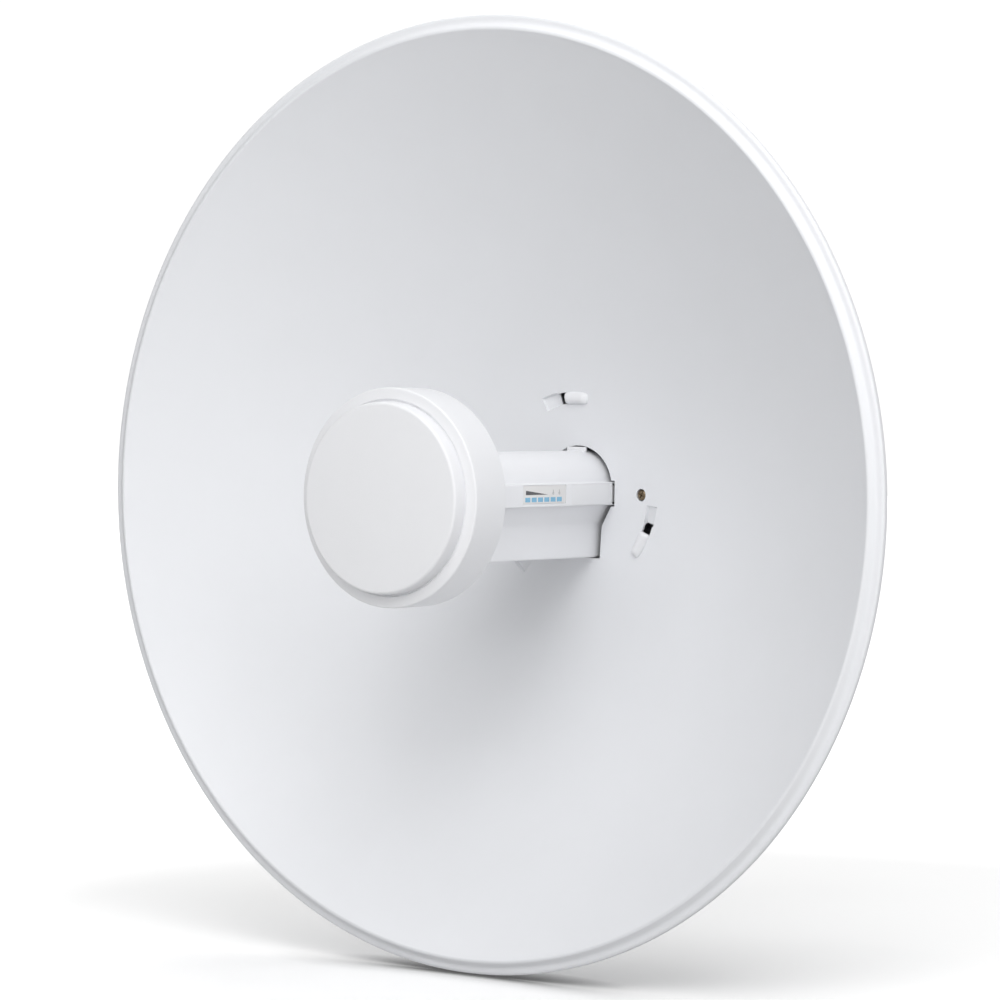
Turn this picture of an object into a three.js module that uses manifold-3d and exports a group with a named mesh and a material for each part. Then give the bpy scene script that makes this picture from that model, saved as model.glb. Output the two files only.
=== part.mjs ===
// Outdoor wireless bridge: a parabolic dish with a radio feed on its axis, on a tilting pole bracket.
// Millimetres, +Z up. The front of the dish faces -Y.
// The origin is on the pole's axis, level with the dish's axis.
import * as THREE from "three";
import { mergeVertices } from "three/addons/utils/BufferGeometryUtils.js";
import Module from "manifold-3d";

const wasm = await Module();
wasm.setup();

// Driving dimensions.

const vertexToPole = 104; // from the deepest point of the dish back to the pole's axis
const slip = 0.3; // gap between faces that touch on the real object
const sheet = 2.5; // steel sheet of the brackets

const dish = { radius: 210, crestRadius: 203, depth: 80.6, wall: 1.0, rimRoll: 3.2, turns: 60, rings: 11 };
const focal = dish.crestRadius ** 2 / (4 * dish.depth);

const tube = {
  arcRadius: 16.2, arcCentre: 2.9, ribHalf: 19.6, ribTop: 5.3, ribBottom: -5, shoulder: 16, keelHalf: 11.3,
  keelTop: -13.5, keelBottom: -28.8, wall: 2, front: -116.6, back: 23,
  stopHalf: 5, stopTop: 20.8, stopFront: -3, stopBack: -1.2,
};
const opening = { gap: 1.8, ribGap: 0.6 }; // the dish's hole follows the tube's outline

const head = {
  radius: 47.2, faceRadius: 41, front: -145.3, ledge: -138.6, seam: -137, rear: -117.6, neck: -113, wall: 2,
};
const feedStack = { plate: -135.5, board: -129.6, patch: -125.6 }; // front faces of the discs inside the head

const bayonet = {
  radius: 43, half: 3.1, gapStart: -14.2, gapEnd: 6.8, first: -9.5, count: 3,
  hookStart: 2.9, hookEnd: 18.5, hookRise: 2.3,
};
const lockScrew = { x: 36, holeRadius: 2.8, headRadius: 2.3, seat: -0.6 };

const plate = { radius: 59, thick: 3, sleeveEnd: 18, sleeveGap: 0.8, sleeveWall: 2 };
const housing = { rim: 66, rear: 30, rearRadius: 51, wall: 2.6 };
const bolts = { x: 30, z: 26, bossRadius: 5.5, holeRadius: 3.3, shankRadius: 3 };
const chute = { half: 15, front: 1, back: 27, bottom: -72, wall: 2.5 };
const door = { thick: 2, half: 14.6, front: 1.4, back: 25.4, hingeY: 28, hingeZ: -74, barrel: 1.7, pin: 0.8 };

const jack = {
  half: 8, front: 3, back: 17, bottom: -28.6, top: -8, mouthHalf: 5.9, mouthFront: 6.7, mouthBack: 13.5,
};
const label = { front: -68.5, back: -37, bottom: -3.3, top: 4.6, thick: 0.4 };
const led = { count: 6, first: -65.2, pitch: 4.67, half: 1.8, bottom: -2.7, top: -0.6 };
const latch = { front: -32.6, back: 10, bottom: -4.2, top: 4.4, inner: 15.6, outer: 19.4 };
const board = { half: 11.3, front: -114.6, back: 19.5, bottom: -7.6, top: -6 };

const pivot = { y: -48, slotRadius: 16, tilt: 20, boltRadius: 3, slotHalf: 3.3 };
const ear = { poleInner: 22, tiltInner: 25, round: 8.5, tip: 5.5, plateHalf: 16 };
const yoke = { plateHalfX: 38, plateHalfZ: 34, corner: 6 };
const pole = {
  webFace: 35.5, webHalfX: 47, webHalfZ: 22, flangeHalf: 30, tip: 14, notchTop: 23.5, notchFoot: 6,
};
const clampBolt = { x: 38, radius: 4, headRadius: 8, headThick: 4, end: 52 };
const teeth = { count: 5, deep: 1.8 };

// Colours.

const finish = (color, roughness, metalness = 0) =>
  new THREE.MeshStandardMaterial({ color, roughness, metalness });
const dishPaint = finish(0xe6e6ea, 0.45);
const whitePlastic = finish(0xeeeef2, 0.4);
const greyPlastic = finish(0xd8d8dc, 0.55);
const zinc = finish(0xb9bcc0, 0.35, 0.9);
const yellowZinc = finish(0xa58f5e, 0.35, 0.9);
const tinned = finish(0xc6c8ca, 0.3, 0.9);
const greenBoard = finish(0x2f6b3f, 0.5);
const copper = finish(0xb87a4a, 0.35, 0.9);
const clear = finish(0x7fc4ea, 0.2);
const film = finish(0xf0f0f2, 0.5);
const rubber = finish(0x2b2b2d, 0.8);
const coaxJacket = finish(0x4a3a2c, 0.6);

// Solids.

// A closed geometry as a solid: shared corners merged, flat slivers dropped, faces turned outwards.
function solid(geometry) {
  const bare = geometry.index ? geometry.toNonIndexed() : geometry.clone();
  bare.deleteAttribute("normal");
  bare.deleteAttribute("uv");
  const merged = mergeVertices(bare, 1e-4);
  const position = merged.attributes.position.array;
  const corner = (i) => new THREE.Vector3().fromArray(position, 3 * i);
  const triangles = [];
  let volume = 0;
  for (let i = 0; i < merged.index.count; i += 3) {
    const [a, b, c] = merged.index.array.slice(i, i + 3);
    if (a === b || b === c || c === a) continue;
    triangles.push([a, b, c]);
    volume += corner(a).dot(corner(b).cross(corner(c)));
  }
  if (volume < 0) triangles.forEach((t) => t.reverse());
  const triVerts = new Uint32Array(triangles.flat());
  return new wasm.Manifold(new wasm.Mesh({ numProp: 3, vertProperties: position, triVerts }));
}

function geometryOf(shape) {
  const mesh = shape.getMesh();
  return new THREE.BufferGeometry()
    .setAttribute("position", new THREE.BufferAttribute(mesh.vertProperties, 3))
    .setIndex(new THREE.BufferAttribute(mesh.triVerts, 1));
}

const count = (length, make) => Array.from({ length }, (_, i) => make(i));
const join = (...shapes) => shapes.reduce((a, b) => a.add(b));
const cut = (shape, ...tools) => tools.reduce((a, b) => a.subtract(b), shape);

function box([x0, x1], [y0, y1], [z0, z1]) {
  const g = new THREE.BoxGeometry(x1 - x0, y1 - y0, z1 - z0);
  return solid(g.translate((x0 + x1) / 2, (y0 + y1) / 2, (z0 + z1) / 2));
}

// A round bar, or a bar with few sides, along an axis from one place to another.
function bar(axis, radius, from, to, [u, v] = [0, 0], sides = 20) {
  const g = new THREE.CylinderGeometry(radius, radius, to - from, sides).translate(0, (from + to) / 2, 0);
  if (axis === "x") return solid(g.rotateZ(-Math.PI / 2).translate(0, u, v));
  if (axis === "z") return solid(g.rotateX(Math.PI / 2).translate(u, v, 0));
  return solid(g.translate(u, 0, v));
}

// An outline in x and z, drawn out along y; in y and z along x; in x and y along z.
const drawn = (outline, length) =>
  new THREE.ExtrudeGeometry(outline, { depth: length, bevelEnabled: false, curveSegments: 8 });
const alongY = (outline, y0, y1) => solid(drawn(outline, y1 - y0).rotateX(Math.PI / 2).translate(0, y1, 0));
const alongX = (outline, x0, x1) =>
  solid(drawn(outline, x1 - x0).rotateX(Math.PI / 2).rotateZ(Math.PI / 2).translate(x0, 0, 0));
const alongZ = (outline, z0, z1) => solid(drawn(outline, z1 - z0).translate(0, 0, z0));
const polygon = (points) => new THREE.Shape(points.map(([x, y]) => new THREE.Vector2(x, y)));

// A profile of [radius, y] points turned round the y axis; one that keeps off the axis closes on itself.
function turned(profile, sides) {
  const loop = profile[0][0] > 0 ? [...profile, profile[0]] : profile;
  return solid(new THREE.LatheGeometry(loop.map(([r, y]) => new THREE.Vector2(r, y)), sides));
}

// A piece of a ring round the y axis between two radii, two y and two angles.
// The angles count from the top, clockwise from the front.
function sector(r0, r1, a0, a1, y0, y1) {
  const steps = 4;
  const point = (r, i) => {
    const a = THREE.MathUtils.degToRad(a0 + ((a1 - a0) * i) / steps);
    return [r * Math.sin(a), r * Math.cos(a)];
  };
  const inner = count(steps + 1, (i) => point(r0, i));
  const outer = count(steps + 1, (i) => point(r1, steps - i));
  return alongY(polygon([...inner, ...outer]), y0, y1);
}

function roundedRectangle(halfX, halfY, r) {
  const s = new THREE.Shape();
  s.moveTo(-halfX + r, -halfY);
  [[1, -1, -90], [1, 1, 0], [-1, 1, 90], [-1, -1, 180]].forEach(([sx, sy, start]) => {
    const a = THREE.MathUtils.degToRad(start);
    s.absarc(sx * (halfX - r), sy * (halfY - r), r, a, a + Math.PI / 2);
  });
  return s;
}

const root = new THREE.Group();
const antenna = new THREE.Group(); // the dish's own frame: its deepest point at the origin
antenna.position.y = -vertexToPole;
root.add(antenna);

function add(group, name, shape, material) {
  const mesh = new THREE.Mesh(geometryOf(shape), material);
  mesh.name = name;
  group.add(mesh);
}

// Dish.

const dishFront = (r) => (-r * r) / (4 * focal);

// The dish's surface moved back by a distance, from the axis to a radius.
function bowl(offset, toRadius, steps) {
  return Array.from({ length: steps + 1 }, (_, i) => {
    const r = (toRadius * i) / steps;
    const slope = Math.atan(r / (2 * focal));
    return [r + (i ? offset * Math.sin(slope) : 0), dishFront(r) + offset * Math.cos(slope)];
  });
}

// The tube's outline in x and z, grown by a gap: arc, ribs at the sides, chamfers and keel.
function tubeOutline(grow, ribGrow = grow) {
  const r = tube.arcRadius + grow;
  const rib = tube.ribHalf + ribGrow;
  const top = tube.ribTop + ribGrow;
  const foot = tube.ribBottom - ribGrow;
  const side = Math.sqrt(r * r - (top - tube.arcCentre) ** 2);
  const shoulder = tube.shoulder + grow;
  const keel = tube.keelHalf + grow;
  const start = Math.atan2(top - tube.arcCentre, side);
  const s = new THREE.Shape();
  s.moveTo(shoulder, foot);
  s.lineTo(rib, foot);
  s.lineTo(rib, top);
  s.lineTo(side, top);
  s.absarc(0, tube.arcCentre, r, start, Math.PI - start);
  s.lineTo(-rib, top);
  s.lineTo(-rib, foot);
  s.lineTo(-shoulder, foot);
  s.lineTo(-keel, tube.keelTop - grow / 2);
  s.lineTo(-keel, tube.keelBottom - grow);
  s.lineTo(keel, tube.keelBottom - grow);
  s.lineTo(keel, tube.keelTop - grow / 2);
  return s;
}

const bayonetAngles = count(bayonet.count, (i) => bayonet.first + (360 * i) / bayonet.count);

function makeDish() {
  const crest = -dish.depth;
  const flange = crest + 2.2;
  const back = flange + dish.rimRoll;
  const rim = [
    [204.3, crest - 0.5], [205.6, crest], [207, flange - 0.3], [208.8, flange], [dish.radius, flange + 1],
    [dish.radius, back - 1], [208.8, back], [207.4, back - 0.6], [206, flange + 0.8], [204.6, crest + 1],
  ];
  const front = bowl(0, dish.crestRadius, dish.rings);
  const rear = bowl(dish.wall, dish.crestRadius, dish.rings).reverse();
  const [inner, outer] = [bayonet.radius - bayonet.half, bayonet.radius + bayonet.half];
  const slot = (angle) => sector(inner, outer, angle + bayonet.gapStart, angle + bayonet.gapEnd, -20, 5);
  return cut(
    turned([...front, ...rim, ...rear], dish.turns),
    alongY(tubeOutline(opening.gap, opening.ribGap), -20, 5),
    bar("y", lockScrew.holeRadius, -20, 5, [lockScrew.x, 0], 16),
    ...bayonetAngles.map(slot),
  );
}

// Bayonet plate and rear housing.

const backOfDish = (r) => dishFront(r) + dish.wall + slip;

const hookInner = bayonet.radius - bayonet.half + 0.4;
const hookOuter = bayonet.radius + bayonet.half - 0.4;
const hookFace = dishFront(hookOuter) - slip - 0.2;

// A hook of the plate: its stem stands in the dish's slot, its head lies over the dish's front.
function hook(angle) {
  const [start, end] = [angle + bayonet.hookStart, angle + bayonet.hookEnd];
  const [half, tip] = [bayonet.hookRise / 2, hookFace - bayonet.hookRise];
  const foot = backOfDish(hookInner) + 2;
  return join(
    sector(hookInner, hookOuter, start + 0.1, angle + bayonet.gapEnd - 0.4, hookFace - 1, foot),
    sector(hookInner, hookOuter, start, end, hookFace - half, hookFace),
    sector(hookInner + 1, hookOuter - 1, start, end - 1.2, tip, hookFace - half + 0.1),
  );
}

// Openings in the plate beside a hook: a well behind the dish's recess and a core hole under the hook's head.
function hookWells(angle) {
  const [wellStart, wellEnd] = [angle + bayonet.gapStart - 1.2, angle + bayonet.hookStart - 0.2];
  const [coreStart, coreEnd] = [angle + bayonet.gapEnd, angle + bayonet.hookEnd - 1];
  return [
    sector(hookInner - 2, hookOuter + 2, wellStart, wellEnd, hookFace - 2, 2.5),
    sector(hookInner + 0.4, hookOuter - 0.4, coreStart, coreEnd, hookFace + 0.1, 2.5),
  ];
}

const boltPlaces = [[1, 1], [1, -1], [-1, -1], [-1, 1]].map(([sx, sz]) => [sx * bolts.x, sz * bolts.z]);

function makeBayonetPlate() {
  const offset = dish.wall + slip;
  const front = bowl(offset, plate.radius, 5);
  const rear = bowl(offset + plate.thick, plate.radius, 5).reverse();
  const sleeve = alongY(tubeOutline(plate.sleeveGap + plate.sleeveWall), 2, plate.sleeveEnd);
  const boss = (place) => bar("y", bolts.bossRadius, -1, housing.rear - housing.wall - slip, place, 16);
  const screwBoss = bar("y", 4.6, -0.8, 10, [lockScrew.x, 0], 16);
  const hole = alongY(tubeOutline(plate.sleeveGap), -20, 40);
  const solidPlate = join(turned([...front, ...rear], 40), sleeve, screwBoss);
  const cableCut = box([-11, 11], [1.5, 20.5], [-40, tube.keelBottom + 2]);
  return cut(
    join(solidPlate, ...boltPlaces.map(boss), ...bayonetAngles.map(hook)),
    hole,
    cableCut,
    bar("y", lockScrew.holeRadius, -20, lockScrew.seat, [lockScrew.x, 0], 16),
    bar("y", 1.5, -20, 12, [lockScrew.x, 0], 12),
    ...boltPlaces.map((p) => bar("y", bolts.holeRadius, 4, 40, p, 16)),
    ...bayonetAngles.flatMap(hookWells),
  );
}

function makeHousing() {
  const w = housing.wall;
  const edge = backOfDish(housing.rim);
  const shell = turned([
    [housing.rim, edge], [housing.rim, 2], [64.8, 12], [61, 21], [56.5, 27],
    [housing.rearRadius, housing.rear], [0, housing.rear],
    [0, housing.rear - w], [housing.rearRadius - 1.5, housing.rear - w],
    [54.5, 25], [58.5, 19.8], [62.2, 11], [63.3, 2], [63.3, backOfDish(63.3)],
  ], 44);
  const spout = box([-chute.half, chute.half], [chute.front, chute.back], [chute.bottom, -50]);
  const [inX, inFront, inBack] = [chute.half - chute.wall, chute.front + chute.wall, chute.back - chute.wall];
  const bore = box([-inX, inX], [inFront, inBack], [chute.bottom - 1, -48]);
  const outside = turned([[0, -30], [56.5, -30], [56.5, 27], [housing.rearRadius - 2, 50], [0, 50]], 44);
  const lug = (x0) => join(
    bar("x", door.barrel, x0, x0 + 6, [door.hingeY, door.hingeZ], 14),
    box([x0, x0 + 6], [chute.back - 1, door.hingeY + 1], [door.hingeZ, chute.bottom + 4]),
  );
  return cut(
    join(shell, cut(spout, outside), lug(-14.5), lug(8.5)),
    bore,
    bar("x", door.pin + 0.3, -20, 20, [door.hingeY, door.hingeZ], 12),
    ...boltPlaces.map((p) => bar("y", bolts.holeRadius, 20, 40, p, 16)),
  );
}

function makeDoor() {
  const z1 = chute.bottom - slip;
  const panel = box([-door.half, door.half], [door.front, door.back], [z1 - door.thick, z1]);
  const arm = box([-8, 8], [door.back - 0.5, door.hingeY + 0.6], [z1 - door.thick, z1 - 0.2]);
  const barrel = bar("x", door.barrel, -8, 8, [door.hingeY, door.hingeZ], 14);
  const cable = bar("z", 4.2, z1 - 5, z1 + 2, [0, 12], 20);
  const pull = box([-6, 6], [door.front - 1, door.front + 1], [z1 - door.thick - 1.2, z1 - 0.4]);
  const pinHole = bar("x", door.pin + 0.3, -20, 20, [door.hingeY, door.hingeZ], 12);
  return cut(join(panel, arm, barrel, pull), cable, pinHole);
}

// Rubber ring in the door that closes round the cable: waist in the panel, lips on both sides.
function makeGrommet() {
  const top = chute.bottom - slip;
  const gap = 0.15;
  const ring = join(
    bar("z", 4.2 - gap, top - door.thick - 1, top + 1, [0, 12], 20),
    bar("z", 5.6, top + gap, top + 1.4, [0, 12], 20),
    bar("z", 5.6, top - door.thick - 1.4, top - door.thick - gap, [0, 12], 20),
  );
  return cut(ring, bar("z", 3.2, top - 10, top + 10, [0, 12], 20));
}

// Soft ring between the plate's edge and the dish.
function makeGasket() {
  const offset = dish.wall + 0.1;
  const y = (r) => dishFront(r) + offset;
  const [inner, outer] = [plate.radius + 1.4, 62.9];
  return turned([[inner, y(inner)], [outer, y(outer)], [outer, y(outer) + 3], [inner, y(inner) + 3]], 40);
}

// Screws, bolts and nuts.

// A hex flange bolt along an axis: the shank from tip to seat, then the flange and the head on the far side.
function hexBolt(axis, shank, tip, seat, place) {
  const out = Math.sign(seat - tip);
  const span = (a, b) => [Math.min(a, b), Math.max(a, b)];
  return join(
    bar(axis, shank, ...span(tip, seat + out * 0.5), place, 14),
    bar(axis, shank * 2.1, ...span(seat, seat + out * 1.2), place, 20),
    bar(axis, shank * 1.92, ...span(seat + out, seat + out * (1 + shank * 1.3)), place, 6),
  );
}

function hexNut(axis, shank, seat, out, place) {
  const span = (a, b) => [Math.min(a, b), Math.max(a, b)];
  const body = join(
    bar(axis, shank * 2.1, ...span(seat, seat + out * 1.2), place, 20),
    bar(axis, shank * 1.85, ...span(seat + out, seat + out * (1 + shank * 1.5)), place, 6),
  );
  return cut(body, bar(axis, shank + slip, -200, 200, place, 14));
}

function makeLockScrew() {
  const headTop = dishFront(lockScrew.x) + 0.3;
  const body = join(
    bar("y", lockScrew.headRadius, headTop, lockScrew.seat - 0.1, [lockScrew.x, 0], 16),
    bar("y", 1.3, lockScrew.seat - 0.5, 9, [lockScrew.x, 0], 12),
  );
  const deep = [-5, headTop + 0.9];
  const cross = [box([-1.5, 1.5], deep, [-0.3, 0.3]), box([-0.3, 0.3], deep, [-1.5, 1.5])];
  return cut(body, ...cross.map((c) => c.translate([lockScrew.x, 0, 0])));
}

// Feed head.

function makeCap() {
  const { radius, faceRadius, front, ledge, seam, wall } = head;
  return turned([
    [0, front], [faceRadius - 1.6, front], [faceRadius - 0.4, front + 0.5], [faceRadius, front + 1.6],
    [faceRadius + 0.5, ledge - 1.4], [faceRadius + 1.9, ledge],
    [radius - 0.9, ledge], [radius, ledge + 0.9], [radius, seam],
    [45, seam], [43.6, seam], [43.6, seam + 4], [42.2, seam + 4], [42.2, ledge + wall - 0.6],
    [faceRadius - 1.6, ledge + wall - 0.6], [faceRadius - 2, front + wall], [0, front + wall],
  ], 36);
}

function makeDrum() {
  const { radius, seam, rear, neck, wall } = head;
  const inner = radius - wall;
  const shell = turned([
    [radius, seam + 0.2], [radius - 0.1, rear - 0.9], [radius - 1, rear],
    [28, neck - 1], [26, neck], [0, neck],
    [0, neck - wall], [25, neck - wall],
    [inner - 2, rear - wall], [inner, rear - wall - 1.6], [inner, seam + 0.2],
  ], 36);
  return cut(shell, alongY(tubeOutline(0.15), -125, -100));
}

const disc = (radius, front, thick) =>
  turned([[0, front], [radius, front], [radius, front + thick], [0, front + thick]], 32);
const ring = (inner, outer, front, thick) =>
  turned([[inner, front], [outer, front], [outer, front + thick], [inner, front + thick]], 36);

const standoffPlaces = [[20, 20], [20, -20], [-20, -20], [-20, 20]];
const standoff = (place) => bar("y", 2.4, feedStack.plate + 1.3, feedStack.board - 0.1, place, 6);
const patchPost = ([x, z]) =>
  bar("y", 1.2, feedStack.board + 1.6, feedStack.patch - 0.1, [x * 0.7, z * 0.7], 8);

// A thin coaxial lead from the radio board to the antenna board, through the hole in the patch.
function coax(side) {
  const path = new THREE.CatmullRomCurve3([
    new THREE.Vector3(side * 8, -110.6, -3.5), new THREE.Vector3(side * 7, -115.6, -2.6),
    new THREE.Vector3(side * 2.4, -121.1, -0.5), new THREE.Vector3(side * 2, feedStack.board + 1.8, 0),
  ]);
  const section = new THREE.Shape();
  section.absarc(0, 0, 0.9, 0, 2 * Math.PI);
  const options = { steps: 10, extrudePath: path, bevelEnabled: false, curveSegments: 4 };
  return solid(new THREE.ExtrudeGeometry(section, options));
}

// Feed tube.

const everything = [-60, 60];
const splitZ = tube.ribBottom;
const ledPlaces = count(led.count, (i) => led.first + led.pitch * i);
// A bar through the shell's side at each lamp, grown by a gap.
const lampBars = (from, to, grow) =>
  ledPlaces.map((y) =>
    box([from, to], [y - led.half - grow, y + led.half + grow], [led.bottom - grow, led.top + grow]),
  );
const bossPlaces = [-104, -20];

function tubeShell() {
  const inside = tubeOutline(-tube.wall);
  return cut(
    join(
      alongY(tubeOutline(0), tube.front, tube.back),
      box([-tube.stopHalf, tube.stopHalf], [tube.stopFront, tube.stopBack], [17.5, tube.stopTop]),
    ),
    alongY(inside, tube.front - 1, tube.back - tube.wall),
  );
}

function makeUpperShell() {
  const upper = tubeShell().intersect(box(everything, [-200, 200], [splitZ + slip / 2, 60]));
  const pocket = (side) => {
    const [a, b] = [side * 12, side * 30];
    const [front, back] = [latch.front - 0.4, latch.back + 0.4];
    return box([Math.min(a, b), Math.max(a, b)], [front, back], [latch.bottom - 0.2, latch.top + 0.2]);
  };
  const labelSeat = box(
    [tube.ribHalf - 0.6, 30], [label.front - 0.2, label.back + 0.2], [label.bottom - 0.1, label.top + 0.2],
  );
  return cut(upper, pocket(1), pocket(-1), labelSeat, ...lampBars(14, 30, 0.2));
}

function makeLowerShell() {
  const lower = tubeShell().intersect(box(everything, [-200, 200], [-60, splitZ - slip / 2]));
  const boss = (y) => bar("z", 3.2, tube.keelBottom + 1, board.bottom - 0.2, [0, y], 12);
  const headWell = (y) => bar("z", 2.9, -40, tube.keelBottom + 2.4, [0, y], 14);
  const screwHole = (y) => bar("z", 1.6, -40, board.bottom + 1, [0, y], 10);
  const jackHole = box(
    [-jack.half - 0.2, jack.half + 0.2], [jack.front - 0.2, jack.back + 0.2], [-40, tube.keelBottom + 3],
  );
  return cut(
    join(lower, ...bossPlaces.map(boss)),
    jackHole,
    bar("z", 1.6, -40, -20, [0, 19.4], 12),
    ...bossPlaces.map(headWell),
    ...bossPlaces.map(screwHole),
  );
}

const boardScrew = (y) => join(
  bar("z", 2.6, tube.keelBottom + 0.4, tube.keelBottom + 2.2, [0, y], 14),
  bar("z", 1.35, tube.keelBottom + 1, board.bottom - 0.6, [0, y], 10),
);

function makeLightPipe() {
  const backBar = box([15.8, 17.3], [led.first - 3, ledPlaces.at(-1) + 3], [-2.8, led.top]);
  return join(backBar, ...lampBars(16.8, tube.ribHalf - 0.15, 0));
}

function makeLabel() {
  const seat = tube.ribHalf - 0.55;
  const skin = box([seat, seat + label.thick], [label.front, label.back], [label.bottom, label.top]);
  return cut(skin, ...lampBars(14, 30, 0.15));
}

// A side latch: a pad to press, and the tongue that runs on behind the dish.
function makeLatch(side) {
  const pad = box([latch.inner, latch.outer], [latch.front, -1.5], [latch.bottom, latch.top]);
  const height = [latch.bottom + 0.8, latch.top - 0.8];
  const tongue = box([latch.inner, latch.outer - 0.9], [-2, latch.back], height);
  const made = join(pad, tongue);
  return side > 0 ? made : made.mirror([1, 0, 0]);
}

function makeJack() {
  const body = box([-jack.half, jack.half], [jack.front, jack.back], [jack.bottom, jack.top]);
  const mouth = box([-jack.mouthHalf, jack.mouthHalf], [jack.mouthFront, jack.mouthBack], [-40, -17]);
  const key = box([-2.1, 2.1], [jack.mouthBack - 1, jack.mouthBack + 2], [-40, -17]);
  return cut(body, mouth, key);
}

// Tilting bracket and pole bracket.

// An ear in the y-z plane: round about its far bolt, straight sides to its root.
function earOutline(rootY, rootHalf, tipY, tipRound) {
  const s = new THREE.Shape();
  const way = Math.sign(tipY - rootY);
  s.moveTo(rootY, -rootHalf);
  if (way > 0) s.absarc(tipY, 0, tipRound, -Math.PI / 2, Math.PI / 2, false);
  else s.absarc(tipY, 0, tipRound, -Math.PI / 2, Math.PI / 2, true);
  s.lineTo(rootY, rootHalf);
  return s;
}

// The slot that lets the lock bolt travel through the tilt, an arc round the pivot.
function tiltSlot(x0, x1) {
  const steps = 8;
  const point = (r, i) => {
    const a = THREE.MathUtils.degToRad(180 - pivot.tilt - 3 + ((2 * pivot.tilt + 6) * i) / steps);
    return [pivot.y + r * Math.cos(a), r * Math.sin(a)];
  };
  const near = count(steps + 1, (i) => point(pivot.slotRadius - pivot.slotHalf, i));
  const far = count(steps + 1, (i) => point(pivot.slotRadius + pivot.slotHalf, steps - i));
  const end = (turn) => {
    const a = THREE.MathUtils.degToRad(180 + turn * (pivot.tilt + 3));
    const place = [pivot.y + pivot.slotRadius * Math.cos(a), pivot.slotRadius * Math.sin(a)];
    return bar("x", pivot.slotHalf, x0, x1, place, 14);
  };
  return join(alongX(polygon([...near, ...far]), x0, x1), end(1), end(-1));
}

const bothSides = (inner, outer, make) => [make(inner, outer), make(-outer, -inner)];

function makeTiltBracket() {
  const front = housing.rear - vertexToPole + slip;
  const back = front + sheet;
  const flat = alongY(roundedRectangle(yoke.plateHalfX, yoke.plateHalfZ, yoke.corner), front, back);
  const outline = earOutline(back - 0.5, ear.plateHalf, pivot.y, ear.round);
  const ears = bothSides(ear.tiltInner, ear.tiltInner + sheet, (a, b) => alongX(outline, a, b));
  const window = alongY(roundedRectangle(15, 15, 5), front - 1, back + 1);
  return cut(
    join(flat, ...ears),
    window,
    tiltSlot(-60, 60),
    bar("x", pivot.boltRadius + 0.3, -60, 60, [pivot.y, 0], 16),
    ...boltPlaces.map((p) => bar("y", bolts.holeRadius, -90, -60, p, 16)),
  );
}

// A toothed plate that bites on the pole: a V notch whose sides are saws.
function toothedFlange(z0, z1) {
  const { notchTop, notchFoot, tip, flangeHalf, webFace } = pole;
  const foot = tip + ((notchTop - notchFoot) * 14) / 17.5;
  const saw = [];
  for (let i = 0; i < teeth.count; i += 1) {
    const at = (t) => [notchTop + (notchFoot - notchTop) * t, -(tip + (foot - tip) * t)];
    const [x, y] = at(i / teeth.count);
    const [gx, gy] = at((i + 0.55) / teeth.count);
    saw.push([x, y], [gx + teeth.deep * 0.62, gy - teeth.deep * 0.78]);
  }
  saw.push([notchFoot, -foot]);
  const left = saw.map(([x, y]) => [-x, y]).reverse();
  const outline = [
    [flangeHalf, -tip - 3], [flangeHalf - 3, -tip], ...saw, ...left, [-flangeHalf + 3, -tip],
    [-flangeHalf, -tip - 3], [-flangeHalf, -webFace - 0.5], [flangeHalf, -webFace - 0.5],
  ];
  return alongZ(polygon(outline), z0, z1);
}

// One half of the pole clamp, on the dish's side of the pole: a web with a toothed flange above and below.
function clampHalf() {
  const { webFace, webHalfX, webHalfZ } = pole;
  const web = alongY(roundedRectangle(webHalfX, webHalfZ, 5), -webFace - sheet, -webFace);
  const hole = (side) => bar("y", clampBolt.radius + 0.5, -60, 0, [side * clampBolt.x, 0], 18);
  return cut(
    join(web, toothedFlange(webHalfZ - sheet, webHalfZ), toothedFlange(-webHalfZ, -webHalfZ + sheet)),
    hole(1),
    hole(-1),
  );
}

function makePoleBracket() {
  const lockY = pivot.y - pivot.slotRadius;
  const outline = earOutline(-pole.webFace - sheet + 0.5, 14, lockY, ear.tip);
  const ears = bothSides(ear.poleInner, ear.poleInner + sheet, (a, b) => alongX(outline, a, b));
  return cut(
    join(clampHalf(), ...ears),
    bar("x", pivot.boltRadius + 0.2, -60, 60, [pivot.y, 0], 16),
    bar("x", pivot.boltRadius + 0.2, -60, 60, [lockY, 0], 16),
  );
}

const makeClampJaw = () => clampHalf().mirror([0, 1, 0]);

function makeClampBolt(side) {
  const place = [side * clampBolt.x, 0];
  const seat = -pole.webFace - sheet - 0.1;
  const { headRadius, headThick } = clampBolt;
  const dome = turned([
    [0, -headThick], [4, -headThick + 0.5], [6.8, -2.2], [headRadius, -0.8], [headRadius, 0], [0, 0],
  ], 24).translate([place[0], seat, 0]);
  return join(dome, bar("y", clampBolt.radius, seat - 0.5, clampBolt.end, place, 18));
}

// Assembly.

add(antenna, "dish_reflector", makeDish(), dishPaint);
add(antenna, "bayonet_plate", makeBayonetPlate(), whitePlastic);
add(antenna, "plate_gasket", makeGasket(), rubber);
add(antenna, "rear_housing", makeHousing(), whitePlastic);
add(antenna, "lock_screw", makeLockScrew(), yellowZinc);
add(antenna, "cable_door", makeDoor(), whitePlastic);
add(antenna, "door_pin", bar("x", door.pin, -14, 14, [door.hingeY, door.hingeZ], 10), zinc);
add(antenna, "cable_grommet", makeGrommet(), rubber);

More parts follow.
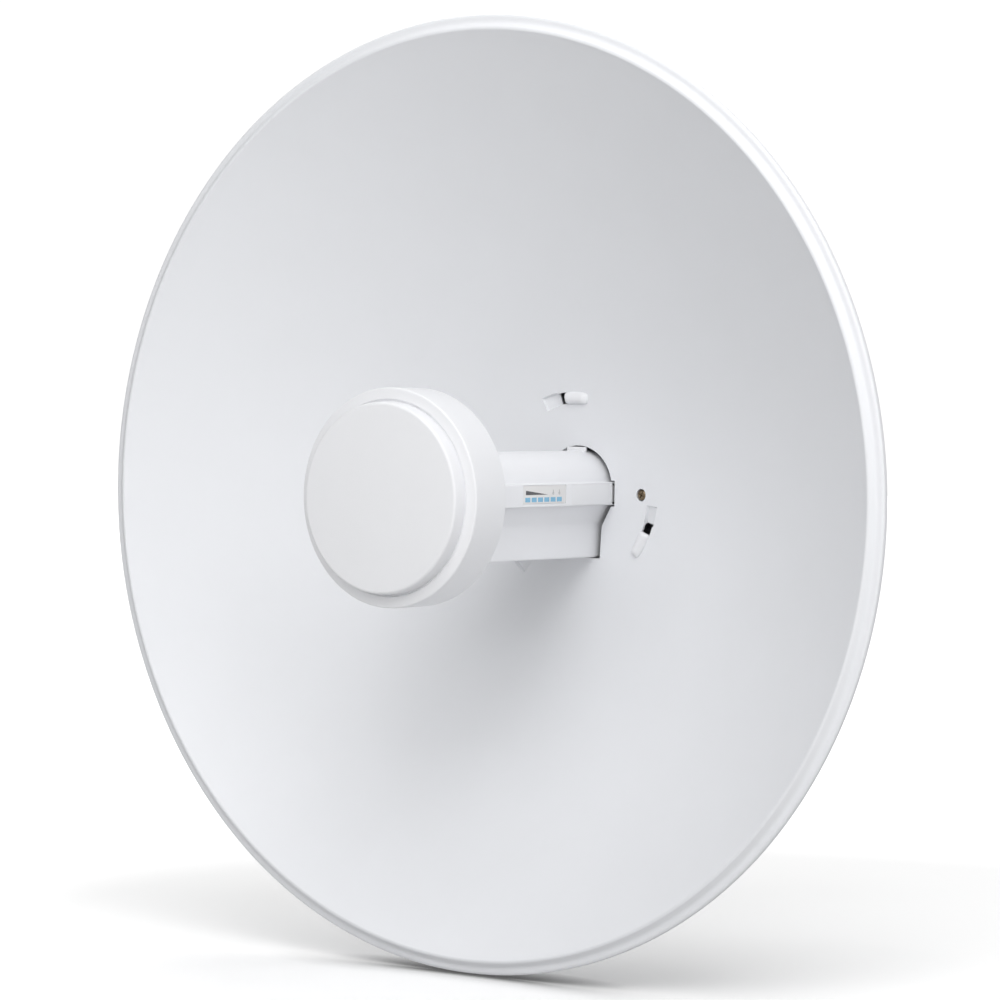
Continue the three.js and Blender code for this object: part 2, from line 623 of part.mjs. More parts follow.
add(antenna, "radome_cap", makeCap(), whitePlastic);
add(antenna, "radome_drum", makeDrum(), whitePlastic);
add(antenna, "radome_seal", ring(43.75, 44.85, head.seam + 0.8, 1.4), rubber);
add(antenna, "ground_plate", disc(41, feedStack.plate, 1.2), tinned);
add(antenna, "antenna_board", disc(32, feedStack.board, 1.5), greenBoard);
add(antenna, "patch_element", ring(4.6, 24, feedStack.patch, 1), copper);
standoffPlaces.forEach((place, i) => add(antenna, `standoff_${i + 1}`, standoff(place), tinned));
standoffPlaces.forEach((place, i) => add(antenna, `patch_post_${i + 1}`, patchPost(place), whitePlastic));
add(antenna, "coax_lead_right", coax(1), coaxJacket);
add(antenna, "coax_lead_left", coax(-1), coaxJacket);

add(antenna, "tube_upper_shell", makeUpperShell(), whitePlastic);
add(antenna, "tube_lower_shell", makeLowerShell(), whitePlastic);
const radioBoard = box([-board.half, board.half], [board.front, board.back], [board.bottom, board.top]);
add(antenna, "radio_board", radioBoard, greenBoard);
add(antenna, "shield_can_front", box([-10, 10], [-96, -72], [board.top + 0.1, -1.5]), tinned);
add(antenna, "shield_can_rear", box([-10, 10], [-34, -8], [board.top + 0.1, -1.5]), tinned);
add(antenna, "lan_transformer", box([-6.5, 6.5], [-12, 0], [-14, board.bottom - 0.1]), rubber);
add(antenna, "ethernet_jack", makeJack(), tinned);
add(antenna, "reset_switch", box([-2.2, 2.2], [17.3, 19.4], [-9.3, board.bottom - 0.1]), rubber);
add(antenna, "reset_button", bar("z", 1.2, -28.2, -10.2, [0, 19.4], 12), greyPlastic);
add(antenna, "light_pipe", makeLightPipe(), clear);
add(antenna, "indicator_label", makeLabel(), film);
bossPlaces.forEach((y, i) => add(antenna, `board_screw_${i + 1}`, boardScrew(y), zinc));
add(antenna, "latch_right", makeLatch(1), whitePlastic);
add(antenna, "latch_left", makeLatch(-1), whitePlastic);

add(root, "tilt_bracket", makeTiltBracket(), zinc);
boltPlaces.forEach((place, i) => {
  const seat = housing.rear - vertexToPole + slip + sheet + 0.1;
  add(root, `housing_bolt_${i + 1}`, hexBolt("y", bolts.shankRadius, seat - 18, seat, place), zinc);
});
add(root, "pole_bracket", makePoleBracket(), zinc);
[["right", 1], ["left", -1]].forEach(([side, s]) => {
  const outer = s * (ear.tiltInner + sheet + 0.1);
  const inner = s * (ear.poleInner - 0.1);
  const tip = s * (ear.poleInner - 6.5);
  const pivotPlace = [pivot.y, 0];
  const lockPlace = [pivot.y - pivot.slotRadius, 0];
  add(root, `pivot_bolt_${side}`, hexBolt("x", pivot.boltRadius - 0.2, tip, outer, pivotPlace), zinc);
  add(root, `pivot_nut_${side}`, hexNut("x", pivot.boltRadius - 0.2, inner, -s, pivotPlace), zinc);
  add(root, `tilt_lock_bolt_${side}`, hexBolt("x", pivot.boltRadius - 0.2, tip, outer, lockPlace), zinc);
  add(root, `tilt_lock_nut_${side}`, hexNut("x", pivot.boltRadius - 0.2, inner, -s, lockPlace), zinc);
  add(root, `clamp_bolt_${side}`, makeClampBolt(s), zinc);
  const clampNut = hexNut("y", clampBolt.radius, pole.webFace + sheet + 0.1, 1, [s * clampBolt.x, 0]);
  add(root, `clamp_nut_${side}`, clampNut, zinc);
});
add(root, "clamp_jaw", makeClampJaw(), zinc);

export default root;
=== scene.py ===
import math

import bmesh
import bpy
from mathutils import Matrix, Vector, geometry


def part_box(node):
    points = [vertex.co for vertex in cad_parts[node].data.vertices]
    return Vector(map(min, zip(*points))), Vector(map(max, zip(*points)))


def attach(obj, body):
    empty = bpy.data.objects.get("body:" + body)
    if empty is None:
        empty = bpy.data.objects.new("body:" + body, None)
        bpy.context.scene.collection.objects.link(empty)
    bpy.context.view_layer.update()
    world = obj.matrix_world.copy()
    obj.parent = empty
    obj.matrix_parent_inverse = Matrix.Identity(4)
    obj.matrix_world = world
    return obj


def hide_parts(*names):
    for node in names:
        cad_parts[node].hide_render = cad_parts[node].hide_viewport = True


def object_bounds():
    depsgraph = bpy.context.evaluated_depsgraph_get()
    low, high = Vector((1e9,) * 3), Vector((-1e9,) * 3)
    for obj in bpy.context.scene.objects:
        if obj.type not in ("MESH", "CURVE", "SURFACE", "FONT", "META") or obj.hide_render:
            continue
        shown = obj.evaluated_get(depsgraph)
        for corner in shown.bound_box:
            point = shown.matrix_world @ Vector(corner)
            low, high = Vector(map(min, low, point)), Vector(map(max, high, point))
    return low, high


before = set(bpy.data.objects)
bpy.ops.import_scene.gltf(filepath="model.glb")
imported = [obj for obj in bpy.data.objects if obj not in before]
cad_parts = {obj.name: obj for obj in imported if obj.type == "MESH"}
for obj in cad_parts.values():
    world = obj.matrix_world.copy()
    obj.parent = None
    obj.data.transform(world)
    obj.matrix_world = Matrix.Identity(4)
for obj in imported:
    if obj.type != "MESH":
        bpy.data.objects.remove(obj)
cadBounds = [list(corner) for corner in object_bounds()]
print("frame loaded:", len(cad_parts), "nodes")

# The dish's own space: millimetres, deepest point of the bowl at the origin, front towards -Y.
bowl = {"depth": 80.6, "crestRadius": 203.0, "wall": 1.0, "sides": 240, "hubRadius": 62.0}
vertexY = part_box("dish_reflector")[0].y + (bowl["depth"] + 0.5) / 1000
inDish = Matrix.Translation((0, vertexY, 0)) @ Matrix.Scale(0.001, 4)
inRow = Matrix.Scale(0.001, 4)
focal = bowl["crestRadius"] ** 2 / (4 * bowl["depth"])


# Shape helpers.

def linkObject(name, data):
    obj = bpy.data.objects.new(name, data)
    bpy.context.scene.collection.objects.link(obj)
    return obj


def tidyMesh(mesh, smooth=30, merge=1e-6, recalc=True):
    bm = bmesh.new()
    bm.from_mesh(mesh)
    bmesh.ops.remove_doubles(bm, verts=bm.verts, dist=merge)
    bmesh.ops.dissolve_degenerate(bm, dist=1e-7, edges=bm.edges)
    if recalc:
        bmesh.ops.recalc_face_normals(bm, faces=bm.faces)
    bm.to_mesh(mesh)
    bm.free()
    mesh.shade_smooth()
    mesh.set_sharp_from_angle(angle=math.radians(smooth))
    return mesh


def meshPiece(name, verts, faces, place=inDish, smooth=30):
    mesh = bpy.data.meshes.new(name)
    mesh.from_pydata([tuple(v) for v in verts], [], faces)
    mesh.transform(place)
    return linkObject(name, tidyMesh(mesh, smooth))


# Rounds the corners of a run of points: radius is one number or one for each corner.
def roundCorners(points, radius, steps=4, closed=True):
    result = []
    count = len(points)
    for i, here in enumerate(points):
        r = radius[i] if isinstance(radius, (list, tuple)) else radius
        if r <= 0 or (not closed and i in (0, count - 1)):
            result.append(tuple(here))
            continue
        p = Vector(here)
        a, b = Vector(points[i - 1]) - p, Vector(points[(i + 1) % count]) - p
        reach = min(r, a.length * 0.45, b.length * 0.45)
        start, end = p + a.normalized() * reach, p + b.normalized() * reach
        for k in range(steps + 1):
            t = k / steps
            result.append(tuple((1 - t) ** 2 * start + 2 * t * (1 - t) * p + t * t * end))
    return result


# Turns a profile of (radius, y) round the Y axis; one that keeps off the axis is a closed ring.
def lathe(name, profile, sides=128, place=inDish, smooth=30):
    n = len(profile)
    ring = profile[0][0] > 1e-6
    verts = []
    for i in range(sides):
        s, c = math.sin(2 * math.pi * i / sides), math.cos(2 * math.pi * i / sides)
        verts += [(r * s, y, r * c) for r, y in profile]
    faces = []
    for i in range(sides):
        j = (i + 1) % sides
        for k in range(n if ring else n - 1):
            m = (k + 1) % n
            faces.append((i * n + k, i * n + m, j * n + m, j * n + k))
    return meshPiece(name, verts, faces, place, smooth)


# outline in y and z, thickness along X
layX = Matrix(((0, 0, 1, 0), (1, 0, 0, 0), (0, 1, 0, 0), (0, 0, 0, 1)))
layY = Matrix.Rotation(math.radians(90), 4, "X")  # outline in x and z, thickness along Y
layZ = Matrix.Identity(4)  # outline in x and y, thickness along Z


def evaluatedMesh(obj):
    bpy.context.view_layer.update()
    graph = bpy.context.evaluated_depsgraph_get()
    return bpy.data.meshes.new_from_object(obj.evaluated_get(graph))


# A plate cut from closed outlines (the first is its edge, the rest are holes), with softened edges.
def cutPlate(name, outlines, low, high, soft, lay=layZ, place=inDish, smooth=40):
    curve = bpy.data.curves.new(name, "CURVE")
    curve.dimensions = "2D"
    curve.fill_mode = "BOTH"
    curve.extrude = (high - low) / 2 - soft
    curve.bevel_depth = soft
    curve.bevel_resolution = 2
    curve.offset = -soft
    for outline in outlines:
        spline = curve.splines.new("POLY")
        spline.points.add(len(outline) - 1)
        for point, (x, y) in zip(spline.points, outline):
            point.co = (x, y, 0, 1)
        spline.use_cyclic_u = True
    holder = linkObject(name + ".outline", curve)
    mesh = evaluatedMesh(holder)
    bpy.data.objects.remove(holder)
    middle = -(low + high) / 2 if lay is layY else (low + high) / 2
    mesh.transform(place @ lay @ Matrix.Translation((0, 0, middle)))
    return linkObject(name, tidyMesh(mesh, smooth, 2e-6))


def softBox(name, low, high, soft=0.4, segments=3, place=inDish, smooth=40):
    bm = bmesh.new()
    size = Vector(high) - Vector(low)
    middle = (Vector(high) + Vector(low)) / 2
    bmesh.ops.create_cube(bm, size=1, matrix=Matrix.Translation(middle) @ Matrix.Diagonal((*size, 1)))
    bmesh.ops.bevel(bm, geom=bm.edges[:], offset=soft, segments=segments, profile=0.6, affect="EDGES",
            clamp_overlap=True)
    mesh = bpy.data.meshes.new(name)
    bm.to_mesh(mesh)
    bm.free()
    mesh.transform(place)
    return linkObject(name, tidyMesh(mesh, smooth))


# A smooth rod between two places along an axis, with rounded or chamfered ends.
def rod(name, axis, radius, low, high, at, soft=0.3, sides=40, place=inDish):
    outline = roundCorners([(0, low), (radius, low), (radius, high), (0, high)], [0, soft, soft, 0], 3,
            closed=False)
    turn = {"x": Matrix.Rotation(math.radians(-90), 4, "Z"), "y": Matrix.Identity(4),
            "z": Matrix.Rotation(math.radians(90), 4, "X")}
    shift = {"x": (0, at[0], at[1]), "y": (at[0], 0, at[1]), "z": (at[0], at[1], 0)}[axis]
    return lathe(name, outline, sides, place @ Matrix.Translation(shift) @ turn[axis], 40)


def joinPieces(name, *objs):
    bm = bmesh.new()
    for obj in objs:
        bm.from_mesh(obj.data)
        bpy.data.objects.remove(obj)
    mesh = bpy.data.meshes.new(name)
    bm.to_mesh(mesh)
    bm.free()
    mesh.shade_smooth()
    mesh.set_sharp_from_angle(angle=math.radians(35))
    return linkObject(name, mesh)


def carve(obj, tools, operation="DIFFERENCE", smooth=35):
    for tool in tools:
        modifier = obj.modifiers.new("cut", "BOOLEAN")
        modifier.operation = operation
        modifier.solver = "EXACT"
        modifier.object = tool
    mesh = evaluatedMesh(obj)
    obj.modifiers.clear()
    for tool in tools:
        bpy.data.objects.remove(tool)
    obj.data = tidyMesh(mesh, smooth, 1e-6, recalc=False)
    return obj


# A copy of a CAD node with its corners merged, its flat faces joined and its edges softened.
def softCopy(name, node, soft=0.25, segments=2, angle=30):
    bm = bmesh.new()
    bm.from_mesh(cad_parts[node].data)
    bmesh.ops.remove_doubles(bm, verts=bm.verts, dist=2e-6)
    bmesh.ops.dissolve_limit(bm, angle_limit=math.radians(1.5), verts=bm.verts, edges=bm.edges)
    edges = [e for e in bm.edges if len(e.link_faces) == 2 and e.calc_face_angle(0) > math.radians(angle)]
    bmesh.ops.bevel(bm, geom=edges, offset=soft / 1000, segments=segments, profile=0.6, affect="EDGES",
            clamp_overlap=True)
    mesh = bpy.data.meshes.new(name)
    bm.to_mesh(mesh)
    bm.free()
    return linkObject(name, tidyMesh(mesh, 38, 1e-7))


# Adds a node; its inputs are set by label, with _ for a space.
def addNode(tree, kind, **inputs):
    node = tree.nodes.new(kind)
    for label, value in inputs.items():
        node.inputs[label.replace("_", " ")].default_value = value
    return node


# Each row is a node, its output, the next node and its input.
def wire(tree, *rows):
    for source, out, target, into in rows:
        tree.links.new(source.outputs[out], target.inputs[into])


# Geometry node trees for what repeats.

def newTree(name, inputs):
    tree = bpy.data.node_groups.new(name, "GeometryNodeTree")
    tree.interface.new_socket("Geometry", in_out="INPUT", socket_type="NodeSocketGeometry")
    for label, kind, value in inputs:
        socket = tree.interface.new_socket(label, in_out="INPUT", socket_type="NodeSocket" + kind)
        if value is not None:
            socket.default_value = value
    tree.interface.new_socket("Geometry", in_out="OUTPUT", socket_type="NodeSocketGeometry")
    return tree, tree.nodes.new("NodeGroupInput"), tree.nodes.new("NodeGroupOutput")


def endTree(tree, source, inputNode, outputNode):
    realize = addNode(tree, "GeometryNodeRealizeInstances")
    paint = addNode(tree, "GeometryNodeSetMaterial")
    wire(tree, (source, 0, realize, 0), (realize, 0, paint, "Geometry"),
            (inputNode, "Material", paint, "Material"),
         (paint, 0, outputNode, 0))


# Copies a piece along a straight row.
def makeRowTree():
    tree, start, end = newTree("rowOfParts", [
        ("Count", "Int", 3), ("Step", "Vector", (0, 0.005, 0)), ("Material", "Material", None)])
    line = addNode(tree, "GeometryNodeMeshLine")
    place = addNode(tree, "GeometryNodeInstanceOnPoints")
    wire(tree, (start, "Count", line, "Count"), (start, "Step", line, "Offset"), (line, 0, place, "Points"),
         (start, "Geometry", place, "Instance"))
    endTree(tree, place, start, end)
    return tree


# Copies a piece round the Y axis through the origin.
def makeRingTree():
    tree, start, end = newTree("ringOfParts", [
        ("Count", "Int", 3), ("Step Angle", "Float", 2.0), ("Material", "Material", None)])
    line = addNode(tree, "GeometryNodeMeshLine", Offset=(0, 0, 0))
    place = addNode(tree, "GeometryNodeInstanceOnPoints")
    turn = addNode(tree, "GeometryNodeRotateInstances", Local_Space=False)
    index = addNode(tree, "GeometryNodeInputIndex")
    times = addNode(tree, "ShaderNodeMath")
    times.operation = "MULTIPLY"
    angles = addNode(tree, "ShaderNodeCombineXYZ")
    wire(tree, (start, "Count", line, "Count"), (line, 0, place, "Points"),
            (start, "Geometry", place, "Instance"),
         (index, 0, times, 0), (start, "Step Angle", times, 1), (times, 0, angles, "Y"),
         (place, 0, turn, "Instances"), (angles, 0, turn, "Rotation"))
    endTree(tree, turn, start, end)
    return tree


# A threaded shank along +Z: a core and a spiral ridge, joined to the head that comes in.
def makeThreadTree():
    tree, start, end = newTree("threadedShank", [
        ("Radius", "Float", 0.003), ("Length", "Float", 0.02), ("Pitch", "Float", 0.001),
        ("Material", "Material", None)])

    def maths(operation, value=1):
        node = addNode(tree, "ShaderNodeMath")
        node.operation = operation
        node.inputs[1].default_value = value
        return node

    core = addNode(tree, "GeometryNodeMeshCylinder", Vertices=32)
    inner, half, turns = maths("MULTIPLY", 0.9), maths("MULTIPLY", 0.5), maths("DIVIDE")
    lift, shift = addNode(tree, "ShaderNodeCombineXYZ"), addNode(tree, "GeometryNodeTransform")
    spiral = addNode(tree, "GeometryNodeCurveSpiral", Resolution=22)
    ridge = addNode(tree, "GeometryNodeCurvePrimitiveCircle", Resolution=5)
    ridgeSize = maths("MULTIPLY", 0.42)
    wrap = addNode(tree, "GeometryNodeCurveToMesh", Fill_Caps=True)
    join = addNode(tree, "GeometryNodeJoinGeometry")
    wire(tree, (start, "Radius", inner, 0), (inner, 0, core, "Radius"), (start, "Length", core, "Depth"),
         (start, "Length", half, 0), (half, 0, lift, "Z"), (core, 0, shift, "Geometry"), (lift, 0, shift,
                 "Translation"),
         (start, "Length", turns, 0), (start, "Pitch", turns, 1), (turns, 0, spiral, "Rotations"),
         (inner, 0, spiral, "Start Radius"), (inner, 0, spiral, "End Radius"), (start, "Length", spiral,
                 "Height"),
         (start, "Pitch", ridgeSize, 0), (ridgeSize, 0, ridge, "Radius"), (spiral, 0, wrap, "Curve"),
         (ridge, 0, wrap, "Profile Curve"), (start, "Geometry", join, 0), (shift, 0, join, 0), (wrap, 0,
                 join, 0))
    endTree(tree, join, start, end)
    return tree


# Runs a tree on an object and leaves a plain mesh.
def runTree(obj, tree, material, **values):
    modifier = obj.modifiers.new(tree.name, "NODES")
    modifier.node_group = tree
    sockets = {s.name: s.identifier for s in tree.interface.items_tree if s.in_out == "INPUT"}
    for label, value in {**values, "Material": material}.items():
        modifier[sockets[label.replace("_", " ")]] = value
    mesh = evaluatedMesh(obj)
    obj.modifiers.remove(modifier)
    mesh.shade_smooth()
    mesh.set_sharp_from_angle(angle=math.radians(35))
    obj.data = mesh
    return obj


rowTree, ringTree, threadTree = makeRowTree(), makeRingTree(), makeThreadTree()
print("node trees ready")


# Finishes.

# A painted, moulded or plated surface: colour that drifts a little, a fine grain and uneven gloss.
def makeFinish(name, colour, rough, metal=0.0, drift=0.03, driftScale=35, grainScale=1800, grain=0.08,
               roughDrift=0.06, stretch=(1, 1, 1), speck=0.0, coat=0.0, ior=1.46):
    material = bpy.data.materials.new(name)
    material.use_nodes = True
    tree = material.node_tree
    shader = tree.nodes["Principled BSDF"]
    for label, value in (("Metallic", metal), ("IOR", ior), ("Coat Weight", coat)):
        shader.inputs[label].default_value = value
    coords, mapping = addNode(tree, "ShaderNodeTexCoord"), addNode(tree, "ShaderNodeMapping", Scale=stretch)
    wire(tree, (coords, "Object", mapping, "Vector"))

    def noise(scale, detail, source=mapping, out=0):
        node = addNode(tree, "ShaderNodeTexNoise", Scale=scale, Detail=detail)
        wire(tree, (source, out, node, "Vector"))
        return node

    def blendTones(first, second):
        node = addNode(tree, "ShaderNodeMix")
        node.data_type = "RGBA"
        for label, tone in (("A", first), ("B", second)):
            if tone:
                node.inputs[label].default_value = (*tone, 1)
        return node

    broad, fine = noise(driftScale, 3, coords, "Object"), noise(grainScale, 2)
    tone = blendTones([c * (1 - drift) for c in colour], [min(1, c * (1 + drift)) for c in colour])
    wire(tree, (broad, "Fac", tone, "Factor"))
    if speck:
        fleck = addNode(tree, "ShaderNodeMapRange", From_Min=0.66, From_Max=0.74, To_Max=speck)
        darker = blendTones(None, [c * 0.55 for c in colour])
        wire(tree, (fine, "Fac", fleck, "Value"), (tone, "Result", darker, "A"),
                (fleck, 0, darker, "Factor"))
        tone = darker
    gloss = addNode(tree, "ShaderNodeMapRange", To_Min=max(0.02, rough - roughDrift),
            To_Max=rough + roughDrift)
    bump = addNode(tree, "ShaderNodeBump", Strength=grain, Distance=0.0003)
    wire(tree, (tone, "Result", shader, "Base Color"), (noise(driftScale * 6, 4), "Fac", gloss, "Value"),
         (gloss, 0, shader, "Roughness"), (fine, "Fac", bump, "Height"), (bump, 0, shader, "Normal"))
    return material


whiteTone = (0.80, 0.81, 0.835)
powderCoat = makeFinish("powderCoat", whiteTone, 0.46, drift=0.012, grainScale=1100, grain=0.06)
mouldedWhite = makeFinish("mouldedWhite", (0.82, 0.825, 0.845), 0.42, drift=0.012, grainScale=2600,
        grain=0.08)
texturedWhite = makeFinish("texturedWhite", (0.82, 0.825, 0.845), 0.5, drift=0.012, grainScale=3200,
        grain=0.16)
# The latch white is the moulded white made a little darker: painted shade for the latch panels set into the
# rib
latchWhite = makeFinish("latchWhite", (0.79, 0.795, 0.81), 0.45, drift=0.012, grainScale=2600, grain=0.08)
labelFilm = makeFinish("labelFilm", (0.78, 0.775, 0.77), 0.5, drift=0.01, grainScale=4000, grain=0.04)
lampBlue = makeFinish("lampBlue", (0.22, 0.48, 0.68), 0.25, drift=0.10, driftScale=420, grain=0.03,
        coat=0.3)
printGrey = makeFinish("printGrey", (0.11, 0.11, 0.115), 0.5, drift=0.15, driftScale=300, grain=0.03)
printPale = makeFinish("printPale", (0.42, 0.42, 0.43), 0.5, drift=0.08, driftScale=300, grain=0.03)
zincSteel = makeFinish("zincSteel", (0.56, 0.57, 0.60), 0.38, 1.0, drift=0.10, driftScale=60,
        grainScale=900, grain=0.12, roughDrift=0.12)
boltZinc = makeFinish("boltZinc", (0.60, 0.61, 0.63), 0.30, 1.0, drift=0.08, driftScale=150,
        grainScale=1500, grain=0.10, roughDrift=0.10)
yellowZinc = makeFinish("yellowZinc", (0.26, 0.20, 0.13), 0.34, 1.0, drift=0.25, driftScale=600,
        grainScale=1500, grain=0.12)
tinPlate = makeFinish("tinPlate", (0.66, 0.67, 0.68), 0.28, 1.0, drift=0.06, driftScale=90, grainScale=1200,
        grain=0.06, stretch=(1, 0.05, 1))
boardGreen = makeFinish("boardGreen", (0.022, 0.115, 0.045), 0.42, drift=0.35, driftScale=260,
        grainScale=900, grain=0.20, speck=0.4)
copperFoil = makeFinish("copperFoil", (0.72, 0.36, 0.20), 0.30, 1.0, drift=0.10, driftScale=80, grain=0.05)
blackRubber = makeFinish("blackRubber", (0.022, 0.022, 0.024), 0.72, drift=0.20, driftScale=120,
        grainScale=2200, grain=0.20)
blackPlastic = makeFinish("blackPlastic", (0.018, 0.018, 0.020), 0.45, drift=0.20, driftScale=120,
        grainScale=2600, grain=0.12)
greyPlastic = makeFinish("greyPlastic", (0.52, 0.52, 0.54), 0.45, drift=0.03, grainScale=2600, grain=0.08)
coaxBrown = makeFinish("coaxBrown", (0.10, 0.055, 0.032), 0.38, drift=0.12, driftScale=500, grain=0.05)
print("finishes ready")


def finishPiece(obj, material, body, slot, *nodes):
    if not obj.data.materials or material is not None:
        obj.data.materials.clear()
        obj.data.materials.append(material)
    if nodes:
        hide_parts(*nodes)
    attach(obj, body)
    return obj


# Dish.

def bowlY(r):
    return -r * r / (4 * focal)


opening = {
    "arcRadius": 16.2, "arcCentre": 2.9, "ribHalf": 19.6, "ribTop": 5.3, "ribBottom": -5.0, "shoulder": 16.0,
    "keelHalf": 11.1, "keelTop": -13.5, "keelBottom": -28.8, "gap": 2.3, "ribGap": 0.7, "keelGap": 0.4,
}
slots = {"radius": 43.0, "half": 3.1, "first": -9.5, "count": 3, "recessStart": -14.2, "holeStart": -3.2,
        "holeEnd": 6.6,
         "recessNear": 0.9, "recessFar": 2.3, "wallWidth": 0.55}
screwHole = {"x": 36.0, "radius": 2.8}


# The feed tube's outline in x and z, grown by a gap that may differ at the ribs and under the keel.
def tubeOutline(grow, ribGrow=None, keelGrow=None, steps=22):
    o = opening
    ribGrow = grow if ribGrow is None else ribGrow
    keelGrow = grow if keelGrow is None else keelGrow
    r, rib, top, foot = (
        o["arcRadius"] + grow, o["ribHalf"] + ribGrow, o["ribTop"] + ribGrow, o["ribBottom"] - ribGrow)
    start = math.atan2(top - o["arcCentre"], math.sqrt(r * r - (top - o["arcCentre"]) ** 2))
    right = [(o["keelHalf"] + grow, o["keelBottom"] - keelGrow),
            (o["keelHalf"] + grow, o["keelTop"] - grow / 2),
             (o["shoulder"] + grow, foot), (rib, foot), (rib, top)]
    for i in range(steps + 1):
        a = start + (math.pi / 2 - start) * i / steps
        right.append((r * math.cos(a), o["arcCentre"] + r * math.sin(a)))
    return right + [(-x, z) for x, z in reversed(right)][1:]


def polar(radius, degrees):
    a = math.radians(degrees)
    return (radius * math.sin(a), radius * math.cos(a))


def sectorLoop(r0, r1, a0, a1, steps=10):
    angles = [a0 + (a1 - a0) * i / steps for i in range(steps + 1)]
    return [polar(r0, a) for a in angles] + [polar(r1, a) for a in reversed(angles)]


def insideLoop(point, loop):
    x, y = point
    inside = False
    for i, (x0, y0) in enumerate(loop):
        x1, y1 = loop[i - 1]
        if (y0 > y) != (y1 > y) and x < (x1 - x0) * (y - y0) / (y1 - y0) + x0:
            inside = not inside
    return inside


# How far the sheet is pressed back at a place beside a slot.
def recessDepth(x, z):
    r, angle = math.hypot(x, z), math.degrees(math.atan2(x, z))
    for i in range(slots["count"]):
        local = (angle - slots["first"] - 360 / slots["count"] * i + 180) % 360 - 180
        if (slots["recessStart"] - 1e-3 < local < slots["holeStart"] + 1e-2
                and abs(r - slots["radius"]) < slots["half"] + 1e-3):
            perDegree = math.radians(1) * slots["radius"]
            edge = min(slots["half"] - abs(r - slots["radius"]), (local - slots["recessStart"]) * perDegree)
            t = max(0, min(1, edge / slots["wallWidth"]))
            along = (local - slots["recessStart"]) / (slots["holeStart"] - slots["recessStart"])
            return t * (slots["recessNear"] + (slots["recessFar"] - slots["recessNear"]) * along)
    return 0.0


def makeDish():
    sides, hub, wall = bowl["sides"], bowl["hubRadius"], bowl["wall"]
    holeLoops = [roundCorners(tubeOutline(opening["gap"], opening["ribGap"], opening["keelGap"]), 0.25, 2)]
    holeLoops.append([(screwHole["x"] + screwHole["radius"] * math.sin(a * math.pi / 16),
                       screwHole["radius"] * math.cos(a * math.pi / 16)) for a in range(32)])
    foldLoops = []
    for i in range(slots["count"]):
        a = slots["first"] + 360 / slots["count"] * i
        low, high, width = (
            slots["radius"] - slots["half"], slots["radius"] + slots["half"], slots["wallWidth"])
        holeLoops.append(sectorLoop(low + width, high - width, a + slots["holeStart"],
                a + slots["holeEnd"]))
        turn = math.degrees(width / slots["radius"])
        foldLoops.append(sectorLoop(low, high, a + slots["recessStart"], a + slots["holeStart"]))
        foldLoops.append(sectorLoop(low + width, high - width, a + slots["recessStart"] + turn,
                a + slots["holeStart"]))
    rim = [polar(hub, 360 * i / sides) for i in range(sides)]
    points, edges = [], []
    for loop in [rim] + holeLoops + foldLoops:
        base = len(points)
        points += loop
        edges += [(base + i, base + (i + 1) % len(loop)) for i in range(len(loop))]
    keepOff = [p for loop in holeLoops + foldLoops for p in loop]
    for ring in range(1, 30):
        r = ring * hub / 30
        count = max(6, int(2 * math.pi * r / 2.1))
        for i in range(count):
            p = polar(r, 360 * (i + 0.5 * (ring % 2)) / count)
            if all((p[0] - q[0]) ** 2 + (p[1] - q[1]) ** 2 > 0.8 for q in keepOff):
                points.append(p)
    flat, _, tris, *_ = geometry.delaunay_2d_cdt([Vector(p) for p in points], edges, [], 0, 1e-5)
    flat = [tuple(p) for p in flat]
    faces = []
    for tri in tris:
        middle = (sum(flat[i][0] for i in tri) / 3, sum(flat[i][1] for i in tri) / 3)
        if not any(insideLoop(middle, loop) for loop in holeLoops):
            faces.append(tuple(tri))

    # The hub and the rings outside it, front and back.
    front = [Vector((x, bowlY(math.hypot(x, z)) + recessDepth(x, z), z)) for x, z in flat]
    back = [p + Vector((p.x / (2 * focal), 1, p.z / (2 * focal))).normalized() * wall for p in front]
    verts = front + back
    size = len(front)
    polygons = [(a, b, c) for a, b, c in faces] + [(c + size, b + size, a + size) for a, b, c in faces]
    seen = {}
    for a, b, c in faces:
        for e in ((a, b), (b, c), (c, a)):
            seen[tuple(sorted(e))] = seen.get(tuple(sorted(e)), 0) + 1
    for (a, b), uses in seen.items():
        onRim = all(abs(math.hypot(*flat[k]) - hub) < 1e-3 for k in (a, b))
        if uses == 1 and not onRim:
            polygons.append((a, b, b + size, a + size))
    radii = [hub + (201.5 - hub) * (i / 34) for i in range(35)]
    inner = [(r, bowlY(r)) for r in radii]
    edge = roundCorners([
        (201.5, bowlY(201.5)), *[(r, up - bowl["depth"]) for r, up in rimSection]],
        [0, 1.1, 1.1, 1.2, 0.9, 0.9, 0.8, 0.5, 0.4, 0.3, 1.0, 0.6, 0.5, 0], 4, closed=False)[1:-1]
    outer = []
    for r in reversed(radii):
        slope = math.atan(r / (2 * focal))
        outer.append((r + wall * math.sin(slope), bowlY(r) + wall * math.cos(slope)))
    profile = inner + edge + outer
    base, n = len(verts), len(profile)
    for i in range(sides):
        s, c = math.sin(2 * math.pi * i / sides), math.cos(2 * math.pi * i / sides)
        verts += [Vector((r * s, y, r * c)) for r, y in profile]
    for i in range(sides):
        j = (i + 1) % sides
        for k in range(n - 1):
            polygons.append((base + i * n + k, base + i * n + k + 1, base + j * n + k + 1,
                    base + j * n + k))
    mesh = bpy.data.meshes.new("dishReflector")
    mesh.from_pydata(verts, [], polygons)
    mesh.transform(inDish)
    return linkObject("dishReflector", tidyMesh(mesh, 32, 4e-6))


